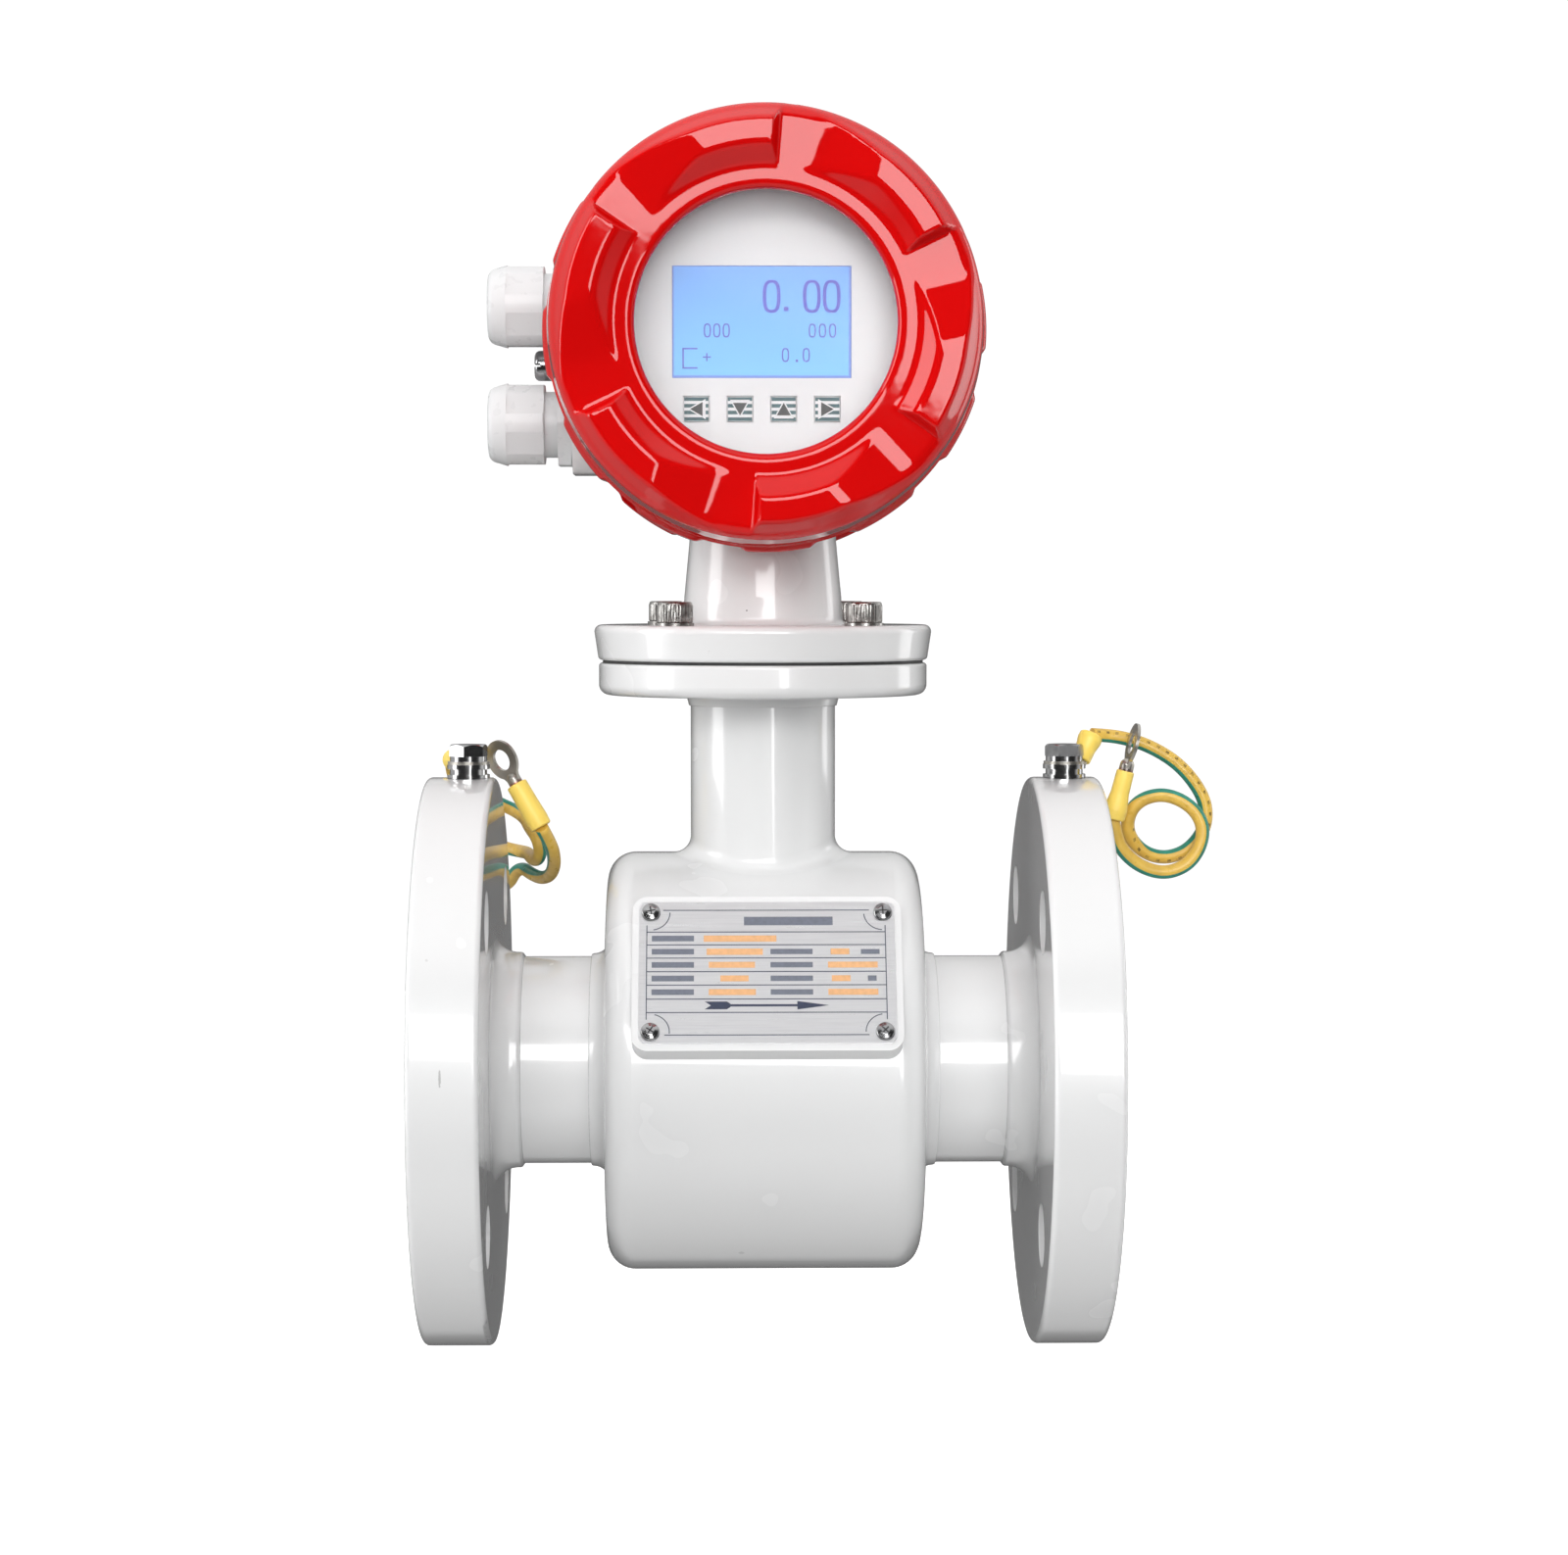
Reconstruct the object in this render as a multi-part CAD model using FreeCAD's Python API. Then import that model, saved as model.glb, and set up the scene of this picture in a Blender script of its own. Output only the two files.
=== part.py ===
import FreeCAD, Part
import math
import os

# Flanged electromagnetic flow meter, DN50 measuring tube with an integral display converter.
# Millimetres. Origin: centre of the measuring tube, on its axis. +X is the flow direction,
# -Y is the display side, +Z is up towards the converter.

os.makedirs("parts", exist_ok=True)
V = FreeCAD.Vector

# ---------------------------------------------------------------- driving dimensions
BODY_L = 200.0            # overall length over the liner faces
LINER_T = 2.3             # thickness of the liner flare on each flange
FLANGE_X = BODY_L / 2 - LINER_T    # 97.7, outer metal face
FLANGE_T = 20.0
FLANGE_XI = FLANGE_X - FLANGE_T    # 77.7, inner metal face
FLANGE_R = 82.5           # DN50 PN16
BOLT_PCD = 125.0
BOLT_R = 9.0
PIPE_R = 30.15            # 60.3 mm pipe
PIPE_RI = 26.55
BORE_R = 24.5             # liner bore
FLARE_R = 50.0
DRUM_R = 60.75            # coil housing
DRUM_HALF = 45.0
DRUM_WALL = 2.5
STEM_R = 21.0
STEM_RI = 18.5
SF_R = 47.6               # stem flange (lower of the small pair)
SF_Z0 = 106.7
SF_Z1 = 116.0
GASKET_T = 0.8
UF_Z0 = SF_Z1 + GASKET_T  # converter flange (upper of the small pair)
UF_Z1 = 127.0
UF_R = 49.2
SCREW_PCD = 76.0
HEAD_Z = 209.5            # axis height of the converter barrel
BARREL_R = 54.5
SPIGOT_R = 53.0
COVER_BORE = 53.08
COVER_R = 62.0
COVER_BASE = 24.1         # distance of both cover rims from the barrel centre
FRONT_FLOOR = 70.0        # front face of the display cover, between its raised pads
REAR_FLOOR = 56.0
PAD_H = 4.2
WINDOW_R = 35.6
GLAND_Y = 8.0
GLAND_Z = (219.3, 185.1)
GLAND_FACE = -54.9
SCREW_Z = 202.2            # earthing screw between the glands
SCREW_TURN = 3.4          # turn of the four flange screws about Z
GROUND_BOLT_X = {-1: -85.6, 1: 87.9}
WIRE_R = 2.0


# ---------------------------------------------------------------- helpers
def rounded_edges(pts, closed=True):
    """Edges of a polygon (a, r, fillet) in the XY plane, with tangent arcs at its corners."""
    n = len(pts)
    P = [V(p[0], p[1], 0) for p in pts]
    F = [p[2] if len(p) > 2 else 0.0 for p in pts]
    starts, ends, arcs = [], [], []
    for i in range(n):
        p, f = P[i], F[i]
        if f <= 0:
            starts.append(p)
            ends.append(p)
            arcs.append(None)
            continue
        a = (P[i - 1] - p)
        b = (P[(i + 1) % n] - p)
        a.normalize()
        b.normalize()
        half = a.getAngle(b) / 2.0
        t = f / math.tan(half)
        p1 = p + a * t
        p2 = p + b * t
        bis = (a + b)
        bis.normalize()
        c = p + bis * (f / math.sin(half))
        m = c - bis * f
        starts.append(p1)
        ends.append(p2)
        arcs.append((p1, m, p2))
    edges = []
    for i in range(n):
        if arcs[i]:
            edges.append(Part.Arc(*arcs[i]).toShape())
        j = (i + 1) % n
        if (ends[i] - starts[j]).Length > 1e-6:
            edges.append(Part.LineSegment(ends[i], starts[j]).toShape())
    return edges


def place(shape, pos, xdir):
    """Turn a solid built about local X so that its axis points along xdir, and move it to pos."""
    s = shape.copy()
    s.Placement = FreeCAD.Placement(V(*pos), FreeCAD.Rotation(V(1, 0, 0), V(*xdir))).multiply(s.Placement)
    return s


def rev(pts, pos=(0, 0, 0), xdir=(1, 0, 0)):
    """Solid of revolution of a rounded polygon of (axial, radius, fillet) points."""
    face = Part.Face(Part.Wire(rounded_edges(pts)))
    s = face.revolve(V(0, 0, 0), V(1, 0, 0), 360)
    s = Part.Solid(s) if s.ShapeType == "Shell" else s
    if s.Volume < 0:
        s.reverse()
    return place(s, pos, xdir)


def cyl(r, p0, p1):
    a, b = V(*p0), V(*p1)
    d = b - a
    return Part.makeCylinder(r, d.Length, a, d)


def ring(r0, r1, p0, p1):
    return cyl(r1, p0, p1).cut(cyl(r0, p0, p1))


def box(x0, x1, y0, y1, z0, z1):
    return Part.makeBox(x1 - x0, y1 - y0, z1 - z0, V(x0, y0, z0))


def prism(pts2d, origin, ex, ey, ez, length):
    """Prism of a 2-D polygon laid in the (ex, ey) plane at origin, along ez."""
    o, ex, ey, ez = V(*origin), V(*ex), V(*ey), V(*ez)
    w = [o + ex * p[0] + ey * p[1] for p in pts2d]
    w.append(w[0])
    return Part.Face(Part.makePolygon(w)).extrude(ez * length)


def hexagon(af, turn=0.0):
    r = af / math.sqrt(3)
    return [(r * math.cos(math.radians(60 * i + turn)), r * math.sin(math.radians(60 * i + turn))) for i in range(6)]


def rrect(w, h, r, origin, ex, ey, ez, length):
    """Rounded rectangle w by h centred on origin, extruded along ez."""
    pts = [(-w / 2, -h / 2, r), (w / 2, -h / 2, r), (w / 2, h / 2, r), (-w / 2, h / 2, r)]
    f = Part.Face(Part.Wire(rounded_edges(pts)))
    s = f.extrude(V(0, 0, length))
    ex, ey, ez = V(*ex), V(*ey), V(*ez)
    if ex.cross(ey).dot(ez) < 0:
        ex = ex * -1
    m = FreeCAD.Matrix(ex.x, ey.x, ez.x, origin[0], ex.y, ey.y, ez.y, origin[1], ex.z, ey.z, ez.z, origin[2], 0, 0, 0, 1)
    s.Placement = FreeCAD.Placement(m)
    return s


def pol(r, deg, z=0.0):
    return (r * math.cos(math.radians(deg)), r * math.sin(math.radians(deg)), z)


NODES = {}


def keep(name, *solids):
    flat = []
    for s in solids:
        flat.extend(s.Solids)
    shape = flat[0] if len(flat) == 1 else Part.makeCompound(flat)
    NODES[name] = shape
    shape.exportStep("parts/%s.step" % name)


# ---------------------------------------------------------------- measuring tube, flanges and liner
tube = ring(PIPE_RI, PIPE_R, (-95, 0, 0), (95, 0, 0))
tube = tube.cut(cyl(5.0, (0, -40, 0), (0, 40, 0)))
keep("measuring_tube", tube)


def pipe_flange(sx):
    # plate with rounded rims, a concave weld on its inner face and a lip that closes the pipe end
    pts = [(FLANGE_X, PIPE_RI, 0), (FLANGE_X, FLANGE_R, 1.6), (FLANGE_XI, FLANGE_R, 1.6), (FLANGE_XI, 31.4, 6.4),
           (70.2, 31.4, 0.8), (69.3, PIPE_R, 0), (95, PIPE_R, 0), (95, PIPE_RI, 0)]
    s = rev([(sx * p[0], p[1], p[2]) for p in pts])
    for k in range(4):
        y, z, _ = pol(BOLT_PCD / 2, 45 + 90 * k)
        s = s.cut(cyl(BOLT_R, (sx * (FLANGE_XI - 8), y, z), (sx * (FLANGE_X + 1), y, z)))
    # tapped hole for the earthing bolt in the top of the rim
    gx = GROUND_BOLT_X[sx]
    s = s.cut(cyl(3.0, (gx, 0, FLANGE_R - 12), (gx, 0, FLANGE_R + 5)))
    # small spot face that the washers sit on
    s = s.cut(cyl(7.0, (gx, 0, FLANGE_R - 0.35), (gx, 0, FLANGE_R + 5)))
    return s


keep("inlet_flange", pipe_flange(-1))
keep("outlet_flange", pipe_flange(1))

E = BODY_L / 2
# the liner is moulded in place and turned out over both flange faces; its tube and its two faces are kept as three simple solids
liner = rev([(-E, BORE_R, 1.2), (E, BORE_R, 1.2), (E, PIPE_RI, 0), (-E, PIPE_RI, 0)])
liner = liner.cut(cyl(4.0, (0, -40, 0), (0, 40, 0)))
keep("flow_liner", liner)
for nm, sx in (("inlet_liner_face", -1), ("outlet_liner_face", 1)):
    keep(nm, rev([(sx * FLANGE_X, PIPE_RI, 0), (sx * E, PIPE_RI, 0), (sx * E, FLARE_R, 0.7), (sx * FLANGE_X, FLARE_R, 0)]))

# ---------------------------------------------------------------- electrodes on the horizontal cross axis
electrodes, insulators, nuts = [], [], []
for s in (-1, 1):
    stud = cyl(2.0, (0, s * 26.0, 0), (0, s * 41.0, 0))
    electrodes.append(cyl(4.0, (0, s * 24.7, 0), (0, s * 26.55, 0)).fuse(stud).removeSplitter())
    b = cyl(5.0, (0, s * 26.55, 0), (0, s * 33.0, 0)).fuse(cyl(8.0, (0, s * 30.3, 0), (0, s * 33.0, 0)))
    b = b.cut(cyl(2.0, (0, s * 20, 0), (0, s * 45, 0)))
    insulators.append(b.removeSplitter())
    w = ring(2.0, 4.6, (0, s * 33.0, 0), (0, s * 34.2, 0))
    h = prism(hexagon(7.0), (0, s * 34.2, 0), (1, 0, 0), (0, 0, 1), (0, s, 0), 3.2)
    h = h.cut(cyl(2.0, (0, s * 30, 0), (0, s * 45, 0)))
    nuts += [w, h]
keep("electrodes", *(electrodes + nuts))
keep("electrode_insulators", *insulators)

# ---------------------------------------------------------------- coils, cores and return yoke
coils, cores = [], []
for s in (-1, 1):
    coils.append(rev([(32.0, 12.0, 0.8), (44.0, 12.0, 0.8), (44.0, 20.0, 1.5), (32.0, 20.0, 1.5)], (0, 0, 0), (0, 0, s)))
    core = cyl(11.9, (0, 0, s * 28), (0, 0, s * 50.6)).cut(cyl(PIPE_R + 0.15, (-30, 0, 0), (30, 0, 0)))
    core = core.common(cyl(50.5, (-20, 0, 0), (20, 0, 0)))
    cores.append(core)
keep("excitation_coils", *coils)
keep("pole_cores", *cores)
keep("magnetic_yoke", ring(50.5, 53.0, (-12, 0, 0), (12, 0, 0)))

# ---------------------------------------------------------------- coil housing (drum)
R, H, W = DRUM_R, DRUM_HALF, DRUM_WALL
# closed outer form with the weld fillets that run down to the pipe at both ends
drum_outer = rev([(-50.0, 29.0, 0), (-50.0, 30.9, 0.5), (-45.0, 31.5, 4.2), (-H, R, 8.0), (H, R, 8.0), (45.0, 31.5, 4.2),
                  (50.0, 30.9, 0.5), (50.0, 29.0, 0)])
drum = drum_outer.cut(rev([(-(H - W), 28.0, 0), (-(H - W), R - W, 5.5), (H - W, R - W, 5.5), (H - W, 28.0, 0)]))
drum = drum.cut(cyl(PIPE_R, (-60, 0, 0), (60, 0, 0)))
stem_core = cyl(STEM_R, (0, 0, 40), (0, 0, SF_Z0))
# weld bead between drum and stem: a rolling-ball fillet round their meeting line
solid_drum = rev([(-H, 0, 0), (-H, R, 8.0), (H, R, 8.0), (H, 0, 0)])
joined = solid_drum.fuse(stem_core).removeSplitter()
bead = None
best = []
for e in joined.Edges:
    bb = e.BoundBox
    if bb.XLength > 1.9 * STEM_R - 1 and bb.YLength > 1.9 * STEM_R - 1 and bb.ZMin > 50 and bb.ZMax < 70:
        best.append(e)
if not best:
    best = [e for e in joined.Edges if e.BoundBox.ZMin > 50 and e.BoundBox.ZMax < 70 and e.BoundBox.XMax < STEM_R + 0.5
            and e.BoundBox.XMin > -STEM_R - 0.5]
filleted = joined.makeFillet(5.0, best)
bead = filleted.cut(solid_drum).cut(stem_core)
stem = stem_core.cut(solid_drum)
stem = stem.fuse(bead).removeSplitter()
stem = stem.cut(cyl(STEM_RI, (0, 0, 30), (0, 0, 120)))
drum = drum.cut(cyl(STEM_RI, (0, 0, 40), (0, 0, 70)))
keep("coil_housing", drum)
keep("stem_tube", stem)

# ---------------------------------------------------------------- small flange pair under the converter
sf = rev([(SF_Z0 - 3.2, STEM_R, 0), (SF_Z0 - 3.2, STEM_R + 0.5, 0.2), (SF_Z0, STEM_R + 1.3, 1.6), (SF_Z0, SF_R, 3.0),
          (SF_Z1, SF_R, 1.0), (SF_Z1, STEM_RI, 0), (SF_Z0, STEM_RI, 0), (SF_Z0, STEM_R, 0)], (0, 0, 0), (0, 0, 1))
gk = ring(STEM_RI, 46.5, (0, 0, SF_Z1), (0, 0, UF_Z0))
screws, washers = [], []
for k in range(4):
    x, y, _ = pol(SCREW_PCD / 2, 45 + SCREW_TURN + 90 * k)
    sf = sf.cut(cyl(3.0, (x, y, SF_Z0 - 1), (x, y, SF_Z1 + 1)))
    gk = gk.cut(cyl(3.3, (x, y, SF_Z1 - 1), (x, y, UF_Z0 + 1)))
    shank = cyl(3.0, (x, y, SF_Z0 + 0.6), (x, y, UF_Z1 + 0.7))
    head = rev([(0, 0, 0), (0, 5.0, 0.2), (6.0, 5.0, 0.7), (6.0, 0, 0)], (x, y, UF_Z1 + 0.7), (0, 0, 1))
    sock = prism(hexagon(5.0, 12 + 25 * k), (x, y, UF_Z1 + 3.6), (1, 0, 0), (0, 1, 0), (0, 0, 1), 4.0)
    screws.append(shank.fuse(head).removeSplitter().cut(sock))
    washers.append(ring(3.0, 5.5, (x, y, UF_Z1), (x, y, UF_Z1 + 0.7)))
keep("stem_flange", sf)
keep("flange_gasket", gk)
keep("flange_screws", *screws)
keep("flange_screw_washers", *washers)

# ---------------------------------------------------------------- converter housing: one casting
hz = HEAD_Z
B = COVER_BASE - 0.3
body = rev([(-B, 0, 0), (-B, BARREL_R, 0.8), (B, BARREL_R, 0.8), (B, 0, 0)], (0, 0, hz), (0, 1, 0))
body = body.fuse(cyl(SPIGOT_R, (0, -44, hz), (0, 40, hz)))
neck = rev([(UF_Z0, 0, 0), (UF_Z0, UF_R - 1.5, 1.2), (UF_Z1, UF_R, 2.0), (UF_Z1, 23.2, 2.2), (135.0, 22.8, 6.0),
            (151.0, 21.3, 8.0), (168.0, 21.3, 0), (168.0, 0, 0)], (0, 0, 0), (0, 0, 1))
body = body.fuse(neck)
# pad on the left side that both cable glands and the earthing screw are set in
pad = rrect(28.0, 63.0, 5.0, (GLAND_FACE, GLAND_Y, 202.0), (0, 1, 0), (0, 0, 1), (1, 0, 0), 26.0)
body = body.fuse(pad)
body = body.cut(cyl(48.0, (0, -50, hz), (0, -6, hz)))
body = body.cut(cyl(48.0, (0, -3, hz), (0, 50, hz)))
body = body.cut(box(-60, 60, -8, 0, hz - 47.5, hz - 33).common(cyl(47.9, (0, -10, hz), (0, 10, hz))))
body = body.cut(cyl(16.0, (0, 0, 100), (0, 0, 175)))
for z in GLAND_Z:
    body = body.cut(cyl(10.0, (-70, GLAND_Y, z), (-39, GLAND_Y, z)))
body = body.cut(cyl(2.5, (-70, GLAND_Y, SCREW_Z), (-47.4, GLAND_Y, SCREW_Z)))
for s in (-1, 1):
    body = body.cut(ring(51.0, 54.0, (0, s * 24.8, hz), (0, s * 27.2, hz)))
for k in range(4):
    x, y, _ = pol(SCREW_PCD / 2, 45 + SCREW_TURN + 90 * k)
    body = body.cut(cyl(3.3, (x, y, UF_Z0 - 1), (x, y, UF_Z1 + 1)))
    # flat seat for the screw head
    body = body.cut(cyl(6.4, (x, y, UF_Z1), (x, y, UF_Z1 + 8)))
body = body.removeSplitter()
keep("converter_housing", body)

orings = []
for s in (-1, 1):
    p = Part.makeTorus(52.0, 1.0, V(0, s * 26.0, hz), V(0, 1, 0))
    orings.append(p)
keep("cover_orings", *orings)


# ---------------------------------------------------------------- lobed screw covers
PAD_MID = [109.5 - 60.0 * k for k in range(6)]
PAD_SPAN = 47.0
PAD_RAMP = 20.0


def pads(floor, sy):
    """Six raised pads on a cover face. Each is a ring sector whose one end is a long ramp."""
    out = []
    prof = [(floor - 3.5, 42.0, 0), (floor, 42.0, 0), (floor + PAD_H, 47.2, 0), (floor + PAD_H, 54.2, 0),
            (floor - 3.5, 58.9, 0)]
    face = Part.Face(Part.Wire(rounded_edges(prof)))
    # local frame: X out of the face, Y and Z span it
    for mid in PAD_MID:
        f = face.copy()
        start = mid - PAD_SPAN / 2
        f.rotate(V(0, 0, 0), V(1, 0, 0), start)
        s = f.revolve(V(0, 0, 0), V(1, 0, 0), PAD_SPAN)
        slope = math.degrees(math.atan2(PAD_H, 49.0 * math.radians(PAD_RAMP)))
        cutter = Part.makeBox(20, 40, 60, V(0, 35, -45))
        cutter.rotate(V(0, 0, 0), V(0, 1, 0), -slope)
        cutter.translate(V(floor, 0, 0))
        cutter.rotate(V(0, 0, 0), V(1, 0, 0), mid + PAD_SPAN / 2)
        out.append(s.cut(cutter))
    return out


def cover_solid(floor, window, sy):
    """Built about local X (out of the face); local Y maps to +X of the row and local Z to +Z."""
    b = COVER_BASE
    outer = [(b, 0, 0), (b, COVER_R, 0.9), (b + 13.6, COVER_R, 0.8), (b + 15.4, 60.3, 1.0), (floor - 12, 59.7, 0),
             (floor, 59.0, 4.6), (floor, 0, 0)]
    s = rev(outer)
    s = s.fuse(pads(floor, sy)).removeSplitter()
    if window:
        inner = [(b - 1, 0, 0), (b - 1, COVER_BORE, 0), (45.4, COVER_BORE, 0), (45.4, 51.4, 0), (floor - 13, 51.4, 1.5),
                 (floor - 13, 41.2, 0), (floor - 4, 41.2, 0), (floor - 4, WINDOW_R, 0), (floor - 1.4, WINDOW_R, 0.3),
                 (floor + 0.2, WINDOW_R + 1.6, 0), (floor + 9, WINDOW_R + 1.6, 0), (floor + 9, 0, 0)]
    else:
        inner = [(b - 1, 0, 0), (b - 1, COVER_BORE, 0), (41.2, COVER_BORE, 0), (41.2, 51.4, 0), (floor - 5.0, 50.5, 3.0),
                 (floor - 5.0, 0, 0)]
    s = s.cut(rev(inner))
    if not window:
        s = s.cut(rev([(floor - 1.6, 0, 0), (floor - 1.6, 34.0, 0.4), (floor + 0.2, 35.6, 0), (floor + 9, 35.6, 0),
                       (floor + 9, 0, 0)]))
    # twelve shallow grip hollows round the rim
    for k in range(12):
        a = 30.0 * k + 12.0
        f = Part.Face(Part.Wire(rounded_edges([(b - 1, 60.9, 0), (b + 12.3, 60.9, 0), (b + 13.2, 61.6, 0), (b + 13.6, 64.0, 0),
                                               (b - 1, 64.0, 0)])))
        f.rotate(V(0, 0, 0), V(1, 0, 0), a)
        s = s.cut(f.revolve(V(0, 0, 0), V(1, 0, 0), 13.0))
    return s


def to_front(s):
    # local X -> -Y, local Y -> +X, local Z -> +Z, centred on the barrel axis
    m = FreeCAD.Matrix(0, 1, 0, 0, -1, 0, 0, 0, 0, 0, 1, HEAD_Z, 0, 0, 0, 1)
    return moved(s, m)


def to_rear(s):
    # local X -> +Y, local Y -> -X, local Z -> +Z
    m = FreeCAD.Matrix(0, -1, 0, 0, 1, 0, 0, 0, 0, 0, 1, HEAD_Z, 0, 0, 0, 1)
    return moved(s, m)


def moved(s, m):
    c = s.copy()
    c.Placement = FreeCAD.Placement(m).multiply(c.Placement)
    return c


keep("front_cover", to_front(cover_solid(FRONT_FLOOR, True, -1)))
keep("rear_cover", to_rear(cover_solid(REAR_FLOOR, False, 1)))
F = FRONT_FLOOR
keep("window_gasket", to_front(rev([(F - 4.8, 36.4, 0), (F - 4.06, 36.4, 0), (F - 4.06, 41.0, 0), (F - 4.8, 41.0, 0)])))
keep("window_glass", to_front(rev([(F - 9.8, 0, 0), (F - 4.8, 0, 0), (F - 4.8, 41.1, 0.4), (F - 9.8, 41.1, 0.4)])))
wr = rev([(F - 12.7, 37.4, 0.3), (F - 9.8, 37.4, 0), (F - 9.8, 41.13, 0), (F - 12.7, 41.13, 0.3)])
for s in (-1, 1):
    wr = wr.cut(box(F - 13, F - 11.2, s * 39.2 - 3, s * 39.2 + 3, -1.5, 1.5))
keep("window_ring", to_front(wr))
keep("rear_cover_seal", to_rear(rev([(40.3, 49.5, 0), (41.1, 49.5, 0), (41.1, 52.9, 0), (40.3, 52.9, 0)])))

# ---------------------------------------------------------------- display stack, from the panel inwards
PX, PZ = -0.9, 210.75                       # centre of the screen
KEY_Z = 186.8
KEY_X = [PX - 18.05, PX - 6.02, PX + 6.02, PX + 18.05]
POSTS = [(-35.0, hz + 20), (35.0, hz + 20), (-35.0, hz - 20), (35.0, hz - 20)]
panel = rev([(48.4, 0, 0), (50.0, 0, 0), (50.0, 46.5, 0.4), (48.4, 46.5, 0)], (0, 0, hz), (0, -1, 0))
panel = panel.cut(box(PX - 24.7, PX + 24.7, -55, -40, PZ - 15.4, PZ + 15.4))
for kx in KEY_X:
    panel = panel.cut(box(kx - 3.7, kx + 3.7, -55, -40, KEY_Z - 3.7, KEY_Z + 3.7))
keep("display_panel", panel)
keep("lcd_glass", box(PX - 24.6, PX + 24.6, -49.6, -48.2, PZ - 15.3, PZ + 15.3))
keep("lcd_frame", box(PX - 29, PX + 29, -48.2, -42.6, PZ - 18.2, PZ + 18.2))
db = cyl(44.0, (0, -41.0, hz), (0, -39.4, hz))
for (px, pz) in POSTS:
    db = db.cut(cyl(2.5, (px, -45, pz), (px, -30, pz)))
db = db.fuse(box(PX - 20, PX + 20, -42.6, -41.0, PZ - 5, PZ + 5))
for kx in KEY_X:
    db = db.fuse(box(kx - 3, kx + 3, -44.4, -41.0, KEY_Z - 3, KEY_Z + 3))
keep("display_board", db.removeSplitter())
for nm, kx in zip(("key_left", "key_down", "key_up", "key_right"), KEY_X):
    cap = rrect(6.8, 6.8, 0.8, (kx, -50.3, KEY_Z), (1, 0, 0), (0, 0, 1), (0, 1, 0), 2.6)
    cap = cap.fuse(box(kx - 4.1, kx + 4.1, -48.1, -47.1, KEY_Z - 4.1, KEY_Z + 4.1))
    cap = cap.fuse(cyl(1.6, (kx, -47.2, KEY_Z), (kx, -45.0, KEY_Z)))
    keep(nm, cap.removeSplitter())
posts = []
for (px, pz) in POSTS:
    posts.append(cyl(2.5, (px, -48.4, pz), (px, -6.0, pz)))
keep("board_posts", *posts)


def board(y0, y1, r):
    s = cyl(r, (0, y0, hz), (0, y1, hz))
    s = s.cut(box(-20, 20, y0 - 1, y1 + 1, hz - 50, hz - 38))
    for (px, pz) in POSTS:
        s = s.cut(cyl(2.5, (px, y0 - 1, pz), (px, y1 + 1, pz)))
    return s


keep("main_board", board(-27.0, -25.4, 45.0))
keep("power_board", board(-14.0, -12.4, 45.0))
parts_ = [box(-12, 6, -29.4, -27.0, 205, 223), box(12, 24, -29.0, -27.0, 200, 208), box(-24, -16, -35.0, -27.0, 186, 192),
          cyl(5.0, (18, -36.5, 222), (18, -27.0, 222)), cyl(4.0, (-22, -34.0, 226), (-22, -27.0, 226)),
          box(-16, 12, -24.0, -14.0, 212, 236), cyl(6.0, (22, -24.6, 198), (22, -14.0, 198)),
          cyl(6.0, (-24, -24.6, 196), (-24, -14.0, 196)), box(-12, 14, -22.0, -14.0, 182, 192)]
keep("board_parts", *parts_)

# ---------------------------------------------------------------- rear terminal compartment
tb = box(-30, 30, -3.0, 14.0, 190, 208).fuse(box(-30, 30, -3.0, 8.0, 208, 214))
tscrews = []
for k in range(6):
    x = -25 + 10 * k
    tb = tb.cut(cyl(3.2, (x, 9.0, 199), (x, 20.0, 199)))
    tscrews.append(cyl(3.0, (x, 9.0, 199), (x, 13.0, 199)).cut(box(x - 3.5, x + 3.5, 12.2, 14, 198.6, 199.4)))
    tb = tb.cut(box(x - 3.0, x + 3.0, 3.0, 8.0, 186, 196))
keep("terminal_block", tb)
keep("terminal_screws", *tscrews)

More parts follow.
